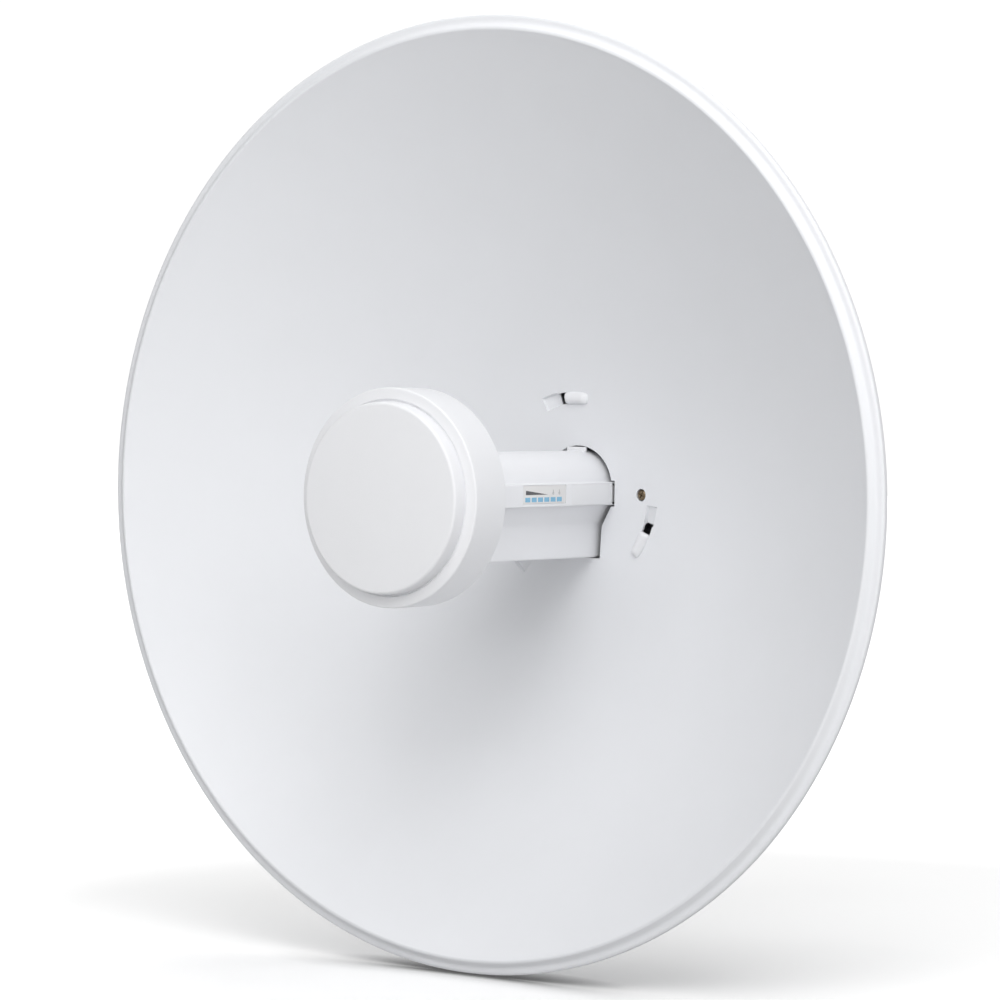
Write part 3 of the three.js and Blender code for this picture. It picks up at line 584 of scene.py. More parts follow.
# The rolled rim as (radius, height behind the crest).
rimSection = [(203.3, -0.45), (204.5, -0.3), (206.6, 2.1), (208.9, 2.15), (210, 2.8), (210, 5.0),
        (209.0, 5.5), (208.3, 4.8),
              (208.2, 3.3), (206.2, 3.1), (204.2, 0.9), (203.3, 0.7), (202.0, 1.8)]
dish = makeDish()
finishPiece(dish, powderCoat, "dish", "dish_paint", "dish_reflector")
print("dish made:", len(dish.data.polygons), "faces")

# Bayonet plate and its hooks.

hook = {"radius": 43.0, "half": 2.7, "rise": 2.3, "start": 2.9, "arc": 15.6, "startLength": 0.7,
        "endLength": 3.2, "foot": 0.1}


collar = {"clear": 3.4, "keelClear": 0.6, "outer": 4.6, "inner": 2.6, "front": 2.2, "back": 18.0,
        "clearBack": 19.0,
          "cableHalf": 11.0, "cableFront": 1.5, "cableBack": 20.5,
          "hookSide": 4.0, "hookStart": 0.3, "hookEnd": 1.5}


# A hook's head: a half-round bar bent along its circle, closed by rounded ends.
def makeHook():
    steps, around = 36, 20
    perDegree = math.radians(1) * hook["radius"]
    base = bowlY(hook["radius"]) - hook["foot"]
    verts, faces = [], []
    for i in range(steps + 1):
        t = i / steps
        local = hook["start"] + hook["arc"] * t
        fromStart, fromEnd = [k * hook["arc"] * perDegree for k in (t, 1 - t)]
        size = math.sqrt(max(0.01, 1 - max(0, 1 - fromEnd / hook["endLength"]) ** 2))
        size *= math.sqrt(max(0.55, 1 - max(0, 1 - fromStart / hook["startLength"]) ** 2))
        for k in range(around + 1):
            a = math.pi * k / around
            r = hook["radius"] - hook["half"] * math.cos(a) * (0.6 + 0.4 * size)
            x, z = polar(r, slots["first"] + local)
            verts.append((x, base - hook["rise"] * math.sin(a) * size, z))
        for r in (hook["radius"] + hook["half"] * (0.6 + 0.4 * size),
                hook["radius"] - hook["half"] * (0.6 + 0.4 * size)):
            x, z = polar(r, slots["first"] + local)
            verts.append((x, base + 0.9, z))
    n = around + 3
    for i in range(steps):
        for k in range(n):
            m = (k + 1) % n
            faces.append((i * n + k, i * n + m, (i + 1) * n + m, (i + 1) * n + k))
    faces.append(tuple(range(n)))
    faces.append(tuple(reversed(range(steps * n, steps * n + n))))
    return meshPiece("bayonetHooks", verts, faces, inRow, 75)


hooks = runTree(makeHook(), ringTree, mouldedWhite, Count=slots["count"],
        Step_Angle=2 * math.pi / slots["count"])
hooks.data.transform(Matrix.Translation((0, vertexY, 0)))
plateCopy = softCopy("bayonetPlate", "bayonet_plate", 0.15, 1)
plateCopy = carve(plateCopy, [cutPlate("clearance",
        [tubeOutline(collar["clear"], collar["clear"], collar["keelClear"])], -20, collar["clearBack"],
        0.02, layY)])
hookTops = []
for i in range(slots["count"]):
    turn = slots["first"] + 360 / slots["count"] * i
    loop = sectorLoop(hook["radius"] - collar["hookSide"], hook["radius"] + collar["hookSide"],
            turn + hook["start"] + collar["hookStart"],
            turn + hook["start"] + hook["arc"] + collar["hookEnd"])
    hookTops.append(cutPlate("hookTop", [loop], -12, bowlY(hook["radius"]) + 0.25, 0.02, layY))
plateCopy = carve(plateCopy, hookTops)
sleeve = cutPlate("sleeve", [tubeOutline(collar["outer"]), tubeOutline(collar["inner"])], collar["front"],
        collar["back"], 0.2, layY)
sleeve = carve(sleeve, [softBox("cableCut", (-collar["cableHalf"], collar["cableFront"], -40),
        (collar["cableHalf"], collar["cableBack"], -26.8), 0.1, 1)])
bayonet = joinPieces("bayonetPlate", hooks, plateCopy, sleeve)
finishPiece(bayonet, mouldedWhite, "dish", "white_plastic", "bayonet_plate")
print("bayonet plate made")

# Lock screw.

lockScrew = {"x": 36.0, "headRadius": 2.35, "top": -2.15, "bottom": -0.7, "crossHalf": 1.35,
        "crossWidth": 0.5}


def makeLockScrew():
    s = lockScrew
    head = lathe("lockScrew", roundCorners([(0, s["top"] - 0.1), (s["headRadius"] * 0.7, s["top"]),
            (s["headRadius"], s["top"] + 0.45),
                 (s["headRadius"], s["bottom"]), (0,
                         s["bottom"])], [0, 0.3, 0.3, 0.1, 0], 4, closed=False), 48,
                 inDish @ Matrix.Translation((s["x"], 0, 0)))
    w, h = s["crossWidth"] / 2, s["crossHalf"]
    cross = [(-w, -h), (w, -h), (w, -w), (h, -w), (h, w), (w, w), (w, h), (-w, h), (-w, w), (-h, w),
            (-h, -w), (-w, -w)]
    tool = cutPlate("crossTool", [[(x * 0.9 + y * 0.42 + s["x"], y * 0.9 - x * 0.42) for x, y in cross]],
            s["top"] - 2, s["top"] + 0.95, 0.02, layY)
    head = carve(head, [tool])
    shank = rod("shank", "y", 1.3, s["bottom"] - 0.1, 9, (s["x"], 0), 0.3, 20)
    return joinPieces("lockScrew", head, shank)


finishPiece(makeLockScrew(), yellowZinc, "dish", "yellow_zinc", "lock_screw")

# Feed head.

head = {"radius": 47.15, "faceRadius": 40.9, "front": -145.2, "ledge": -138.6, "seam": -137.0,
        "rear": -117.7, "neck": -113.1}


def makeHead():
    h = head
    capOutside = roundCorners([
        (0, h["front"]), (h["faceRadius"], h["front"]), (h["faceRadius"] + 0.1,
                h["front"] + 3.2), (h["faceRadius"] + 0.2, h["ledge"] + 0.1),
        (h["faceRadius"] + 1.0, h["ledge"] + 0.1), (h["faceRadius"] + 1.3,
                h["ledge"] - 0.75), (h["faceRadius"] + 3.4, h["ledge"] - 0.4),
        (h["radius"] - 0.1, h["ledge"] - 0.2), (h["radius"],
                h["seam"])], [0, 1.5, 0.3, 0.4, 0.4, 0.8, 1.6, 1.0, 0], 6, closed=False)
    skirt, ceiling = h["seam"] + 3.9, h["ledge"] + 1.4
    capInside = [(45.1, h["seam"]), (43.6, h["seam"]), (43.6, skirt), (42.2, skirt), (42.2, ceiling),
            (38.8, ceiling),
                 (38.4, h["front"] + 2), (0, h["front"] + 2)]
    cap = lathe("radomeCap", capOutside + capInside, 160)
    drumOutside = roundCorners([(h["radius"], h["seam"] + 0.06), (h["radius"] - 0.15, h["rear"]),
            (28, h["neck"] - 1.2), (26, h["neck"]), (0, h["neck"])],
                               [0, 1.0, 1.0, 0.8, 0], 6, closed=False)
    drumInside = [(0, h["neck"] - 2), (25, h["neck"] - 2), (43, h["rear"] - 2), (45, h["rear"] - 3.6),
            (45, h["seam"] + 0.06)]
    drum = lathe("radomeDrum", drumOutside + drumInside, 160)
    return cap, drum


cap, drum = makeHead()
finishPiece(cap, texturedWhite, "feed", "white_plastic", "radome_cap")
finishPiece(drum, mouldedWhite, "feed", "white_plastic", "radome_drum")
print("feed head made")

# Feed tube.

tube = {"front": -116.2, "back": 23.0, "split": -5.0, "seam": 0.16, "wall": 2.0, "soft": 0.35,
        "jackHalf": 8.2, "jackFront": 2.8, "jackBack": 17.2}
stop = {"half": 5.0, "front": -3.0, "back": -1.2, "bottom": 17.5, "top": 20.8}
label = {"front": -68.5, "back": -37.0, "bottom": -3.3, "top": 4.6, "face": 19.52, "deep": 0.5}
lamps = {"count": 6, "first": -65.2, "pitch": 4.67, "half": 1.95, "bottom": -2.7, "top": -0.55,
        "face": 19.57}
latch = {"front": -32.6, "back": 10.0, "bottom": -4.45, "top": 4.75, "inner": 15.6, "outer": 19.5,
        "gap": 0.06}


def makeUpperShell():
    t, o = tube, opening
    low = t["split"] + t["seam"] / 2
    outline = [(x, z) for x, z in tubeOutline(0) if z > t["split"] + 1]
    flat = [0] * (len(outline) - 4)
    outer = roundCorners([(o["ribHalf"], low)] + outline + [(-o["ribHalf"], low)],
            [0.5, 0.9, 0.5] + flat + [0.5, 0.9, 0.5], 4)
    r, foot = o["arcRadius"] - t["wall"], o["shoulder"] - t["wall"]
    arc = [math.radians(d) for d in range(0, 181, 9)]
    inner = [(foot, low)] + [(r * math.cos(a), o["arcCentre"] + r * math.sin(a)) for a in arc] + [(-foot,
            low)]
    shell = cutPlate("tubeUpperShell", [outer + inner[::-1]], t["front"], t["back"], t["soft"], layY,
            smooth=30)
    tools = []
    for side in (1, -1):
        x = sorted([side * 12, side * 30])
        low, high = latch["bottom"] - latch["gap"], latch["top"] + latch["gap"]
        tools.append(softBox("pocket", (x[0], latch["front"] - latch["gap"], low),
                (x[1], latch["back"] + 0.3, high), 0.05, 1))
    tools.append(softBox("seat", (label["face"] - label["deep"], label["front"] - 0.15,
            label["bottom"] - 0.1), (30, label["back"] + 0.15, label["top"] + 0.15), 0.1, 1))
    shell = carve(shell, tools)
    tab = softBox("tab", (-stop["half"], stop["front"], stop["bottom"]),
            (stop["half"], stop["back"], stop["top"]), 0.45, 3)
    wall = cutPlate("endWall", [[(x * 0.93, z * 0.93 + 0.3) for x, z in outer]], t["back"] - 2,
            t["back"] - 0.2, 0.1, layY)
    return joinPieces("tubeUpperShell", shell, tab, wall)


def makeLowerShell():
    t, o = tube, opening
    high = t["split"] - t["seam"] / 2
    half = [(o["keelHalf"], o["keelBottom"]), (o["keelHalf"], o["keelTop"]), (o["shoulder"], high)]
    outer = roundCorners([(-x, z) for x, z in reversed(half)] + half, [0.3, 1.0, 1.1, 1.1, 1.0, 0.3], 4)
    w = t["wall"]
    inside = [(o["shoulder"] - w, high + 1), (o["keelHalf"] - w, o["keelTop"]),
            (o["keelHalf"] - w, o["keelBottom"] + w)]
    hollow = inside + [(-x, z) for x, z in reversed(inside)]
    shell = cutPlate("tubeLowerShell", [outer], t["front"], t["back"], t["soft"], layY, smooth=30)
    tools = [cutPlate("hollow", [hollow], t["front"] - 2, t["back"] - w, 0.05, layY),
             softBox("jackHole", (-t["jackHalf"], t["jackFront"], -40), (t["jackHalf"], t["jackBack"], -26),
                     0.2, 1),
             rod("resetHole", "z", 1.6, -40, -26, (0, 19.4), 0.1, 24)]
    tools += [rod("screwWell", "z", 2.9, -40, -26.6, (0, y), 0.1, 24) for y in (-104, -20)]
    return carve(shell, tools)


finishPiece(makeUpperShell(), mouldedWhite, "feed", "white_plastic", "tube_upper_shell")
finishPiece(makeLowerShell(), mouldedWhite, "feed", "white_plastic", "tube_lower_shell")
print("feed tube made")


def makeLatch(side):
    pad = softBox("pad", (latch["inner"], latch["front"], latch["bottom"]),
            (latch["outer"], -1.4, latch["top"]), 0.1, 2)
    tongue = softBox("tongue", (latch["inner"], -2.5, latch["bottom"] + 0.8),
            (latch["outer"] - 0.9, latch["back"], latch["top"] - 0.8), 0.4, 2)
    whole = joinPieces("latch", pad, tongue)
    if side < 0:
        whole.data.transform(Matrix.Scale(-1, 4, (1, 0, 0)))
        whole.data.flip_normals()
    return whole


for side, name in ((1, "right"), (-1, "left")):
    piece = makeLatch(side)
    piece.name = "latch" + name.capitalize()
    finishPiece(piece, latchWhite, "latch_" + name, "white_plastic", "latch_" + name)

# Indicator label, printed marks and status lamps.

marks = {"wedgeFront": -66.7, "wedgeBack": -50.3, "wedgeLow": 0.55, "wedgeHigh": 2.5,
        "iconY": (-46.4, -41.9), "iconZ": 1.5}


def makeLabel():
    l = label
    outline = roundCorners([(l["front"], l["bottom"]), (l["back"], l["bottom"]), (l["back"], l["top"]),
            (l["front"], l["top"])], 0.8, 4)
    return cutPlate("indicatorLabel", [outline], l["face"] - 0.35, l["face"], 0.05, layX)


def makeMarks():
    m, face = marks, label["face"]
    wedge = [(m["wedgeFront"], m["wedgeLow"]), (m["wedgeBack"], m["wedgeLow"]),
            (m["wedgeFront"], m["wedgeHigh"])]
    dark = cutPlate("signalWedge", [wedge], face - 0.05, face + 0.02, 0.005, layX)
    pale = []
    for y in m["iconY"]:
        ring = [(y + 0.62 * math.cos(a),
                m["iconZ"] - 0.4 + 0.62 * math.sin(a)) for a in [math.pi * k / 8 for k in range(16)]]
        hole = [(y + (x - y) * 0.45, m["iconZ"] - 0.4 + (z - m["iconZ"] + 0.4) * 0.45) for x, z in ring]
        stem = [(y - 0.18, m["iconZ"] + 0.1), (y + 0.18, m["iconZ"] + 0.1), (y + 0.18, m["iconZ"] + 1.2),
                (y - 0.18, m["iconZ"] + 1.2)]
        pale += [cutPlate("icon", [ring, hole], face - 0.05, face + 0.02, 0.005, layX),
                cutPlate("stem", [stem], face - 0.05, face + 0.02, 0.005, layX)]
    return dark, joinPieces("labelIcons", *pale)


def makeLamps():
    p = lamps
    one = softBox("statusLamps", (p["face"] - 1.2, p["first"] - p["half"], p["bottom"]),
            (p["face"], p["first"] + p["half"], p["top"]), 0.22, 3)
    return runTree(one, rowTree, lampBlue, Count=p["count"], Step=(0, p["pitch"] / 1000, 0))


wedge, icons = makeMarks()
finishPiece(makeLabel(), labelFilm, "feed", "label_film", "indicator_label")
finishPiece(wedge, printGrey, "feed", "label_film")
finishPiece(icons, printPale, "feed", "label_film")
finishPiece(makeLamps(), None, "feed", "light_guide", "light_pipe")
print("label and lamps made")

# Rear housing with its cable chute, seen from behind.

housing = {"rim": 66.0, "rear": 30.0, "wall": 2.6,
        "hollow": [(0, 27.4), (49.5, 27.4), (54.5, 25), (58.5, 19.8), (62.2, 11), (63.3, 2)],
           "outside": [(0, 30), (51, 30), (56.5, 27), (61, 21), (64.8, 12), (66, 2)], "softness": [0, 3, 4,
                   4, 4, 3, 0.4]}
chute = {"half": 15.0, "front": 1.0, "back": 27.0, "bottom": -72.0, "wall": 2.5, "soft": 1.2}
hinge = {"y": 28.0, "z": -74.0, "barrel": 1.7}
boltPlaces = [(30, 26), (30, -26), (-30, -26), (-30, 26)]


def backOfDish(r):
    return bowlY(r) + bowl["wall"] + 0.3


def makeHousing():
    h, c = housing, chute
    outside = roundCorners(h["outside"] + [(h["rim"], backOfDish(h["rim"]))], h["softness"], 4,
            closed=False)
    inside = [(63.3, backOfDish(63.3))] + h["hollow"][::-1]
    shell = lathe("rearHousing", outside + inside, 120)
    spout = softBox("spout", (-c["half"], c["front"], c["bottom"]), (c["half"], c["back"], -50), c["soft"],
            3)
    shell = carve(shell, [spout], "UNION")
    inX, inFront, inBack = c["half"] - c["wall"], c["front"] + c["wall"], c["back"] - c["wall"]
    tools = [softBox("bore", (-inX, inFront, c["bottom"] - 3), (inX, inBack, -48), 0.8, 2),
             lathe("hollow", [(0, 26.6), (49, 26.6), (55, 21), (55, -40), (0, -40)], 90)]
    tools += [rod("boltHole", "y", 3.3, 20, 40, place, 0.1, 32) for place in boltPlaces]
    tools += [cutPlate("drain", [roundCorners([(x - 1, 34), (x + 1, 34), (x + 1, 41), (x - 1, 41)], 0.9,
            4)], 20, 40, 0.05, layY) for x in (-9, -3, 3, 9)]
    shell = carve(shell, tools)
    lugs = []
    for x in (-14.5, 8.5):
        lugs.append(rod("lug", "x", hinge["barrel"], x, x + 6, (hinge["y"], hinge["z"]), 0.2, 28))
        lugs.append(softBox("web", (x + 0.1, c["back"] - 0.9, hinge["z"]),
                (x + 5.9, hinge["y"] + 0.9, c["bottom"] + 4), 0.3, 2))
    return joinPieces("rearHousing", shell, *lugs)


finishPiece(makeHousing(), texturedWhite, "dish", "white_plastic", "rear_housing")

door = {"top": -72.3, "thick": 2.0, "half": 14.6, "front": 1.4, "back": 25.4, "cableY": 12.0,
        "cableRadius": 4.2}


def makeDoor():
    d = door
    low = d["top"] - d["thick"]
    panel = softBox("cableDoor", (-d["half"], d["front"], low), (d["half"], d["back"], d["top"]), 0.5, 3)
    panel = carve(panel, [rod("cableHole", "z", d["cableRadius"], low - 4, d["top"] + 4, (0, d["cableY"]),
            0.1, 40)])
    ribs = softBox("grip", (-7, 3.2, low - 0.35), (7, 3.9, low + 0.3), 0.15, 2)
    ribs = runTree(ribs, rowTree, texturedWhite, Count=3, Step=(0, 0.0015, 0))
    arm = softBox("arm", (-8, d["back"] - 0.8, low + 0.1), (8, hinge["y"] + 0.4, d["top"] - 0.2), 0.3, 2)
    pull = softBox("pull", (-6, d["front"] - 0.9, low - 1.1), (6, d["front"] + 1, d["top"] - 0.4), 0.4, 3)
    barrel = rod("barrel", "x", hinge["barrel"], -8, 8, (hinge["y"], hinge["z"]), 0.2, 28)
    return joinPieces("cableDoor", panel, ribs, arm, pull, barrel)


finishPiece(makeDoor(), texturedWhite, "cable_door", "white_plastic", "cable_door")


def makeGrommet():
    top, low = door["top"], door["top"] - door["thick"]
    section = [(3.2, low - 1.3), (5.5, low - 1.3), (5.5, low - 0.15), (4.05, low - 0.15),
            (4.05, top + 0.15), (5.5, top + 0.15), (5.5, top + 1.3), (3.2, top + 1.3)]
    turn = Matrix.Translation((0, door["cableY"], 0)) @ Matrix.Rotation(math.radians(90), 4, "X")
    return lathe("cableGrommet", roundCorners(section, [0.5, 0.5, 0.2, 0.1, 0.1, 0.2, 0.5, 0.5], 4), 64,
            inDish @ turn, 40)


finishPiece(makeGrommet(), blackRubber, "cable_door", "black_rubber", "cable_grommet")
print("rear housing and cable door made")

# Steel brackets, cut from sheet with softened edges; their row is the pole's own frame.

steel = {"sheet": 2.5, "soft": 0.25}
yoke = {"front": -73.7, "halfX": 38.0, "halfZ": 34.0, "corner": 6.0, "window": 15.0, "windowCorner": 5.0,
        "rootY": -71.7, "rootHalf": 16.0,
        "inner": 25.0, "tip": 8.5}
pivot = {"y": -48.0, "slotRadius": 16.0, "tilt": 20.0, "hole": 3.3, "slotHalf": 3.3}
clamp = {"web": -38.0, "halfX": 47.0, "halfZ": 22.0, "corner": 5.0, "boltX": 38.0, "hole": 4.5,
        "flangeHalf": 30.0, "tip": 14.0,
         "notchTop": 23.5, "notchFoot": 6.0, "teeth": 5, "toothDeep": 1.8,
         "earInner": 22.0, "earHalf": 14.0, "earTip": 5.5}


def roundLoop(x, y, radius, steps=32):
    return [(x + radius * math.cos(2 * math.pi * i / steps),
            y + radius * math.sin(2 * math.pi * i / steps)) for i in range(steps)]


def boxLoop(halfX, halfY, corner):
    return roundCorners([(-halfX, -halfY), (halfX, -halfY), (halfX, halfY), (-halfX, halfY)], corner * 1.2,
            8)


# An ear in y and z: straight from its root, round at its far bolt.
def earLoop(rootY, rootHalf, tipY, tipRound, steps=24):
    way = 1 if tipY > rootY else -1
    tip = [(tipY + way * tipRound * math.sin(math.pi * i / steps),
            -tipRound * math.cos(math.pi * i / steps)) for i in range(steps + 1)]
    return roundCorners([(rootY, -rootHalf)] + tip + [(rootY, rootHalf)], [0.5] + [0] * len(tip) + [0.5], 3)


def slotLoop(steps=16):
    p = pivot
    sweep = math.radians(p["tilt"] + 3)
    near, far = [], []
    for i in range(steps + 1):
        a = math.pi - sweep + 2 * sweep * i / steps
        near.append((p["y"] + (p["slotRadius"] - p["slotHalf"]) * math.cos(a),
                (p["slotRadius"] - p["slotHalf"]) * math.sin(a)))
        far.append((p["y"] + (p["slotRadius"] + p["slotHalf"]) * math.cos(a),
                (p["slotRadius"] + p["slotHalf"]) * math.sin(a)))

    def cap(a, start):
        y, z = p["y"] + p["slotRadius"] * math.cos(a), p["slotRadius"] * math.sin(a)
        return [(y + p["slotHalf"] * math.cos(start - math.pi * k / 8),
                z + p["slotHalf"] * math.sin(start - math.pi * k / 8)) for k in range(1, 8)]

    return near + cap(math.pi + sweep, 2 * math.pi + sweep) + far[::-1] + cap(math.pi - sweep,
            math.pi - sweep)


def makeYoke():
    y = yoke
    holes = [boxLoop(y["window"], y["window"], y["windowCorner"])] + [roundLoop(x, z, 3.3) for x,
            z in boltPlaces]
    pieces = [cutPlate("tiltBracket", [boxLoop(y["halfX"], y["halfZ"], y["corner"])] + holes, y["front"],
            y["front"] + steel["sheet"],
                       steel["soft"], layY, inRow)]
    ear = [earLoop(y["rootY"], y["rootHalf"], pivot["y"], y["tip"]), slotLoop(),
            roundLoop(pivot["y"], 0, pivot["hole"])]
    for low in (y["inner"], -y["inner"] - steel["sheet"]):
        pieces.append(cutPlate("ear", ear, low, low + steel["sheet"], steel["soft"], layX, inRow))
        side = 1 if low > 0 else -1
        bead = rod("bend", "z", 0.9, -15.5, 15.5,
                (side * (y["inner"] - 0.1), y["front"] + steel["sheet"] + 0.1), 0.3, 20, inRow)
        pieces.append(bead)
    return joinPieces("tiltBracket", *pieces)


def toothedLoop():
    c = clamp
    foot = c["tip"] + (c["notchTop"] - c["notchFoot"]) * 0.8
    saw = []
    for i in range(c["teeth"]):
        t, g = i / c["teeth"], (i + 0.55) / c["teeth"]
        saw.append((c["notchTop"] + (c["notchFoot"] - c["notchTop"]) * t,
                -(c["tip"] + (foot - c["tip"]) * t)))
        saw.append((c["notchTop"] + (c["notchFoot"] - c["notchTop"]) * g + c["toothDeep"] * 0.62,
                    -(c["tip"] + (foot - c["tip"]) * g) - c["toothDeep"] * 0.78))
    saw.append((c["notchFoot"], -foot))
    edge = [(c["flangeHalf"], -c["tip"] - 3), (c["flangeHalf"] - 3, -c["tip"])]
    right = [(c["flangeHalf"], c["web"] + 2)] + edge + saw
    return right + [(-x, y) for x, y in reversed(right)]


def makeClampHalf(name, side):
    c = clamp
    web = [boxLoop(c["halfX"], c["halfZ"], c["corner"]), roundLoop(c["boltX"], 0, c["hole"]),
            roundLoop(-c["boltX"], 0, c["hole"])]
    pieces = [cutPlate(name, web, c["web"], c["web"] + steel["sheet"], steel["soft"], layY, inRow)]
    for z in (-c["halfZ"], c["halfZ"] - steel["sheet"]):
        pieces.append(cutPlate("flange", [toothedLoop()], z, z + steel["sheet"], 0.15, layZ, inRow))
        bead = rod("bend", "x", 0.9, -29.5, 29.5,
                (c["web"] + steel["sheet"] + 0.1, z + (steel["sheet"] + 0.1 if z < 0 else -0.1)), 0.3, 20,
                inRow)
        pieces.append(bead)
    if side > 0:
        lockY = pivot["y"] - pivot["slotRadius"]
        ear = [earLoop(c["web"] + 0.5, c["earHalf"], lockY, c["earTip"]), roundLoop(pivot["y"], 0, 3.2),
                roundLoop(lockY, 0, 3.2)]
        for low in (c["earInner"], -c["earInner"] - steel["sheet"]):
            pieces.append(cutPlate("ear", ear, low, low + steel["sheet"], steel["soft"], layX, inRow))
    whole = joinPieces(name, *pieces)
    if side < 0:
        whole.data.transform(Matrix.Scale(-1, 4, (0, 1, 0)))
        whole.data.flip_normals()
    return whole


finishPiece(makeYoke(), zincSteel, "dish", "zinc", "tilt_bracket")
finishPiece(makeClampHalf("poleBracket", 1), zincSteel, "pole_mount", "zinc", "pole_bracket")
finishPiece(makeClampHalf("clampJaw", -1), zincSteel, "clamp", "zinc", "clamp_jaw")
print("brackets made")

# Bolts and nuts. In its own row a fastener's shank runs up +Z from the seat and its head lies below.

thread = {"pitch": 0.001, "clampPitch": 0.00125, "core": 0.93}
seat = {"housing": -71.1, "bolt": 27.6, "nut": 21.9, "clampX": 38.0, "clampY": 38.1, "pivotY": -48.0,
        "lockY": -64.0}


def towards(axis, way, x, y, z):
    turns = {"x": ("Y", 90), "y": ("X", -90)}[axis]
    return Matrix.Translation((x / 1000, y / 1000,
            z / 1000)) @ Matrix.Rotation(math.radians(turns[1] * way), 4, turns[0])


def hexLoop(radius):
    return roundCorners([polar(radius, 60 * i + 30) for i in range(6)], 0.35, 3)


def layDown(name, profile, sides=48):
    return lathe(name, profile, sides, inRow @ Matrix.Rotation(math.radians(90), 4, "X"), 40)


def hexBolt(name, shank, length):
    flange = layDown("flange", roundCorners([(0, 0), (shank * 2.08, 0), (shank * 2.05, -0.8),
            (shank * 1.8, -1.6), (0, -1.6)],
                                            [0, 0.1, 0.3, 0.3, 0], 3, closed=False))
    head = cutPlate("hex", [hexLoop(shank * 1.88)], -1 - shank * 1.28, -0.6, 0.3, layZ, inRow)
    top = -1 - shank * 1.28
    crown = layDown("crown", roundCorners([(0, top + 0.3), (shank * 1.45, top + 0.3),
            (shank * 1.3, top - 0.02), (0, top - 0.02)], [0, 0.1, 0.1, 0], 2, closed=False))
    whole = joinPieces(name, flange, head, crown)
    return runTree(whole, threadTree, boltZinc, Radius=shank * thread["core"] / 1000, Length=length / 1000,
            Pitch=thread["pitch"])


def hexNut(name, shank):
    hole = roundLoop(0, 0, shank + 0.25, 36)
    flange = cutPlate("flange", [roundLoop(0, 0, shank * 2.05, 48), hole], 0, 1.4, 0.3, layZ, inRow)
    body = cutPlate("hex", [hexLoop(shank * 1.82), hole], 0.8, 1 + shank * 1.48, 0.3, layZ, inRow)
    return joinPieces(name, flange, body)


def clampBolt(name):
    radius, reach = 4.0, 90.1
    dome = layDown("dome", roundCorners([(0, 0), (8, 0), (8, -0.8), (6.8, -2.3), (4, -3.6), (0, -3.95)],
            [0, 0.1, 0.4, 1.2, 1.2, 0], 4, closed=False))
    collar = cutPlate("collar", [boxLoop(3.9, 3.9, 0.5)], -0.4, 2.4, 0.1, layZ, inRow)
    whole = joinPieces(name, dome, collar)
    return runTree(whole, threadTree, boltZinc, Radius=radius * thread["core"] / 1000, Length=reach / 1000,
            Pitch=thread["clampPitch"])


def putFastener(obj, node, body, axis, way, x, y, z):
    obj.data.transform(towards(axis, way, x, y, z))
    finishPiece(obj, boltZinc, body, "zinc", node)


for i, (x, z) in enumerate(boltPlaces):
    putFastener(hexBolt(f"housingBolt{i + 1}", 3.0, 17.8), f"housing_bolt_{i + 1}", "dish", "y", -1, x,
            seat["housing"], z)
for side, s in (("right", 1), ("left", -1)):
    for name, y in (("pivot", seat["pivotY"]), ("tilt_lock", seat["lockY"])):
        putFastener(hexBolt(f"{name}Bolt.{side}", 2.8, 12.0), f"{name}_bolt_{side}", "pole_mount", "x", -s,
                s * seat["bolt"], y, 0)
        putFastener(hexNut(f"{name}Nut.{side}", 2.8), f"{name}_nut_{side}", "pole_mount", "x", -s,
                s * seat["nut"], y, 0)
    putFastener(clampBolt(f"clampBolt.{side}"), f"clamp_bolt_{side}", "pole_mount", "y", 1,
            s * seat["clampX"], -seat["clampY"], 0)
    putFastener(hexNut(f"clampNut.{side}", 4.0), f"clamp_nut_{side}", "clamp", "y", 1, s * seat["clampX"],
            seat["clampY"], 0)
print("bolts and nuts made")

# Network jack with its contacts.

jack = {"half": 7.9, "front": 3.1, "back": 16.9, "bottom": -28.5, "top": -8.1, "mouthHalf": 5.9,
        "mouthFront": 6.7, "mouthBack": 13.5, "mouthTop": -17.0,
        "contacts": 8, "pitch": 1.02}


def makeJack():
    j = jack
    body = softBox("ethernetJack", (-j["half"], j["front"], j["bottom"]), (j["half"], j["back"], j["top"]),
            0.3, 2)
    tools = [softBox("mouth", (-j["mouthHalf"], j["mouthFront"], -40),
            (j["mouthHalf"], j["mouthBack"], j["mouthTop"]), 0.1, 1),
             softBox("key", (-2.1, j["mouthBack"] - 1, -40), (2.1, j["mouthBack"] + 2, j["mouthTop"]), 0.1,
                     1)]
    body = carve(body, tools)
    body.data.materials.append(tinPlate)
    first = -j["pitch"] * (j["contacts"] - 1) / 2
    contact = softBox("contact", (first - 0.22, j["mouthFront"] - 0.2, -27),
            (first + 0.22, j["mouthFront"] + 0.7, -18), 0.08, 1)
    contact = runTree(contact, rowTree, yellowZinc, Count=j["contacts"], Step=(j["pitch"] / 1000, 0, 0))
    return body, contact


body, contact = makeJack()
finishPiece(body, tinPlate, "feed", "tinned", "ethernet_jack")
finishPiece(contact, None, "feed", "yellow_zinc")
print("network jack made")

# Finishes of the CAD nodes that stay. The rest are replaced above and take a plain one.

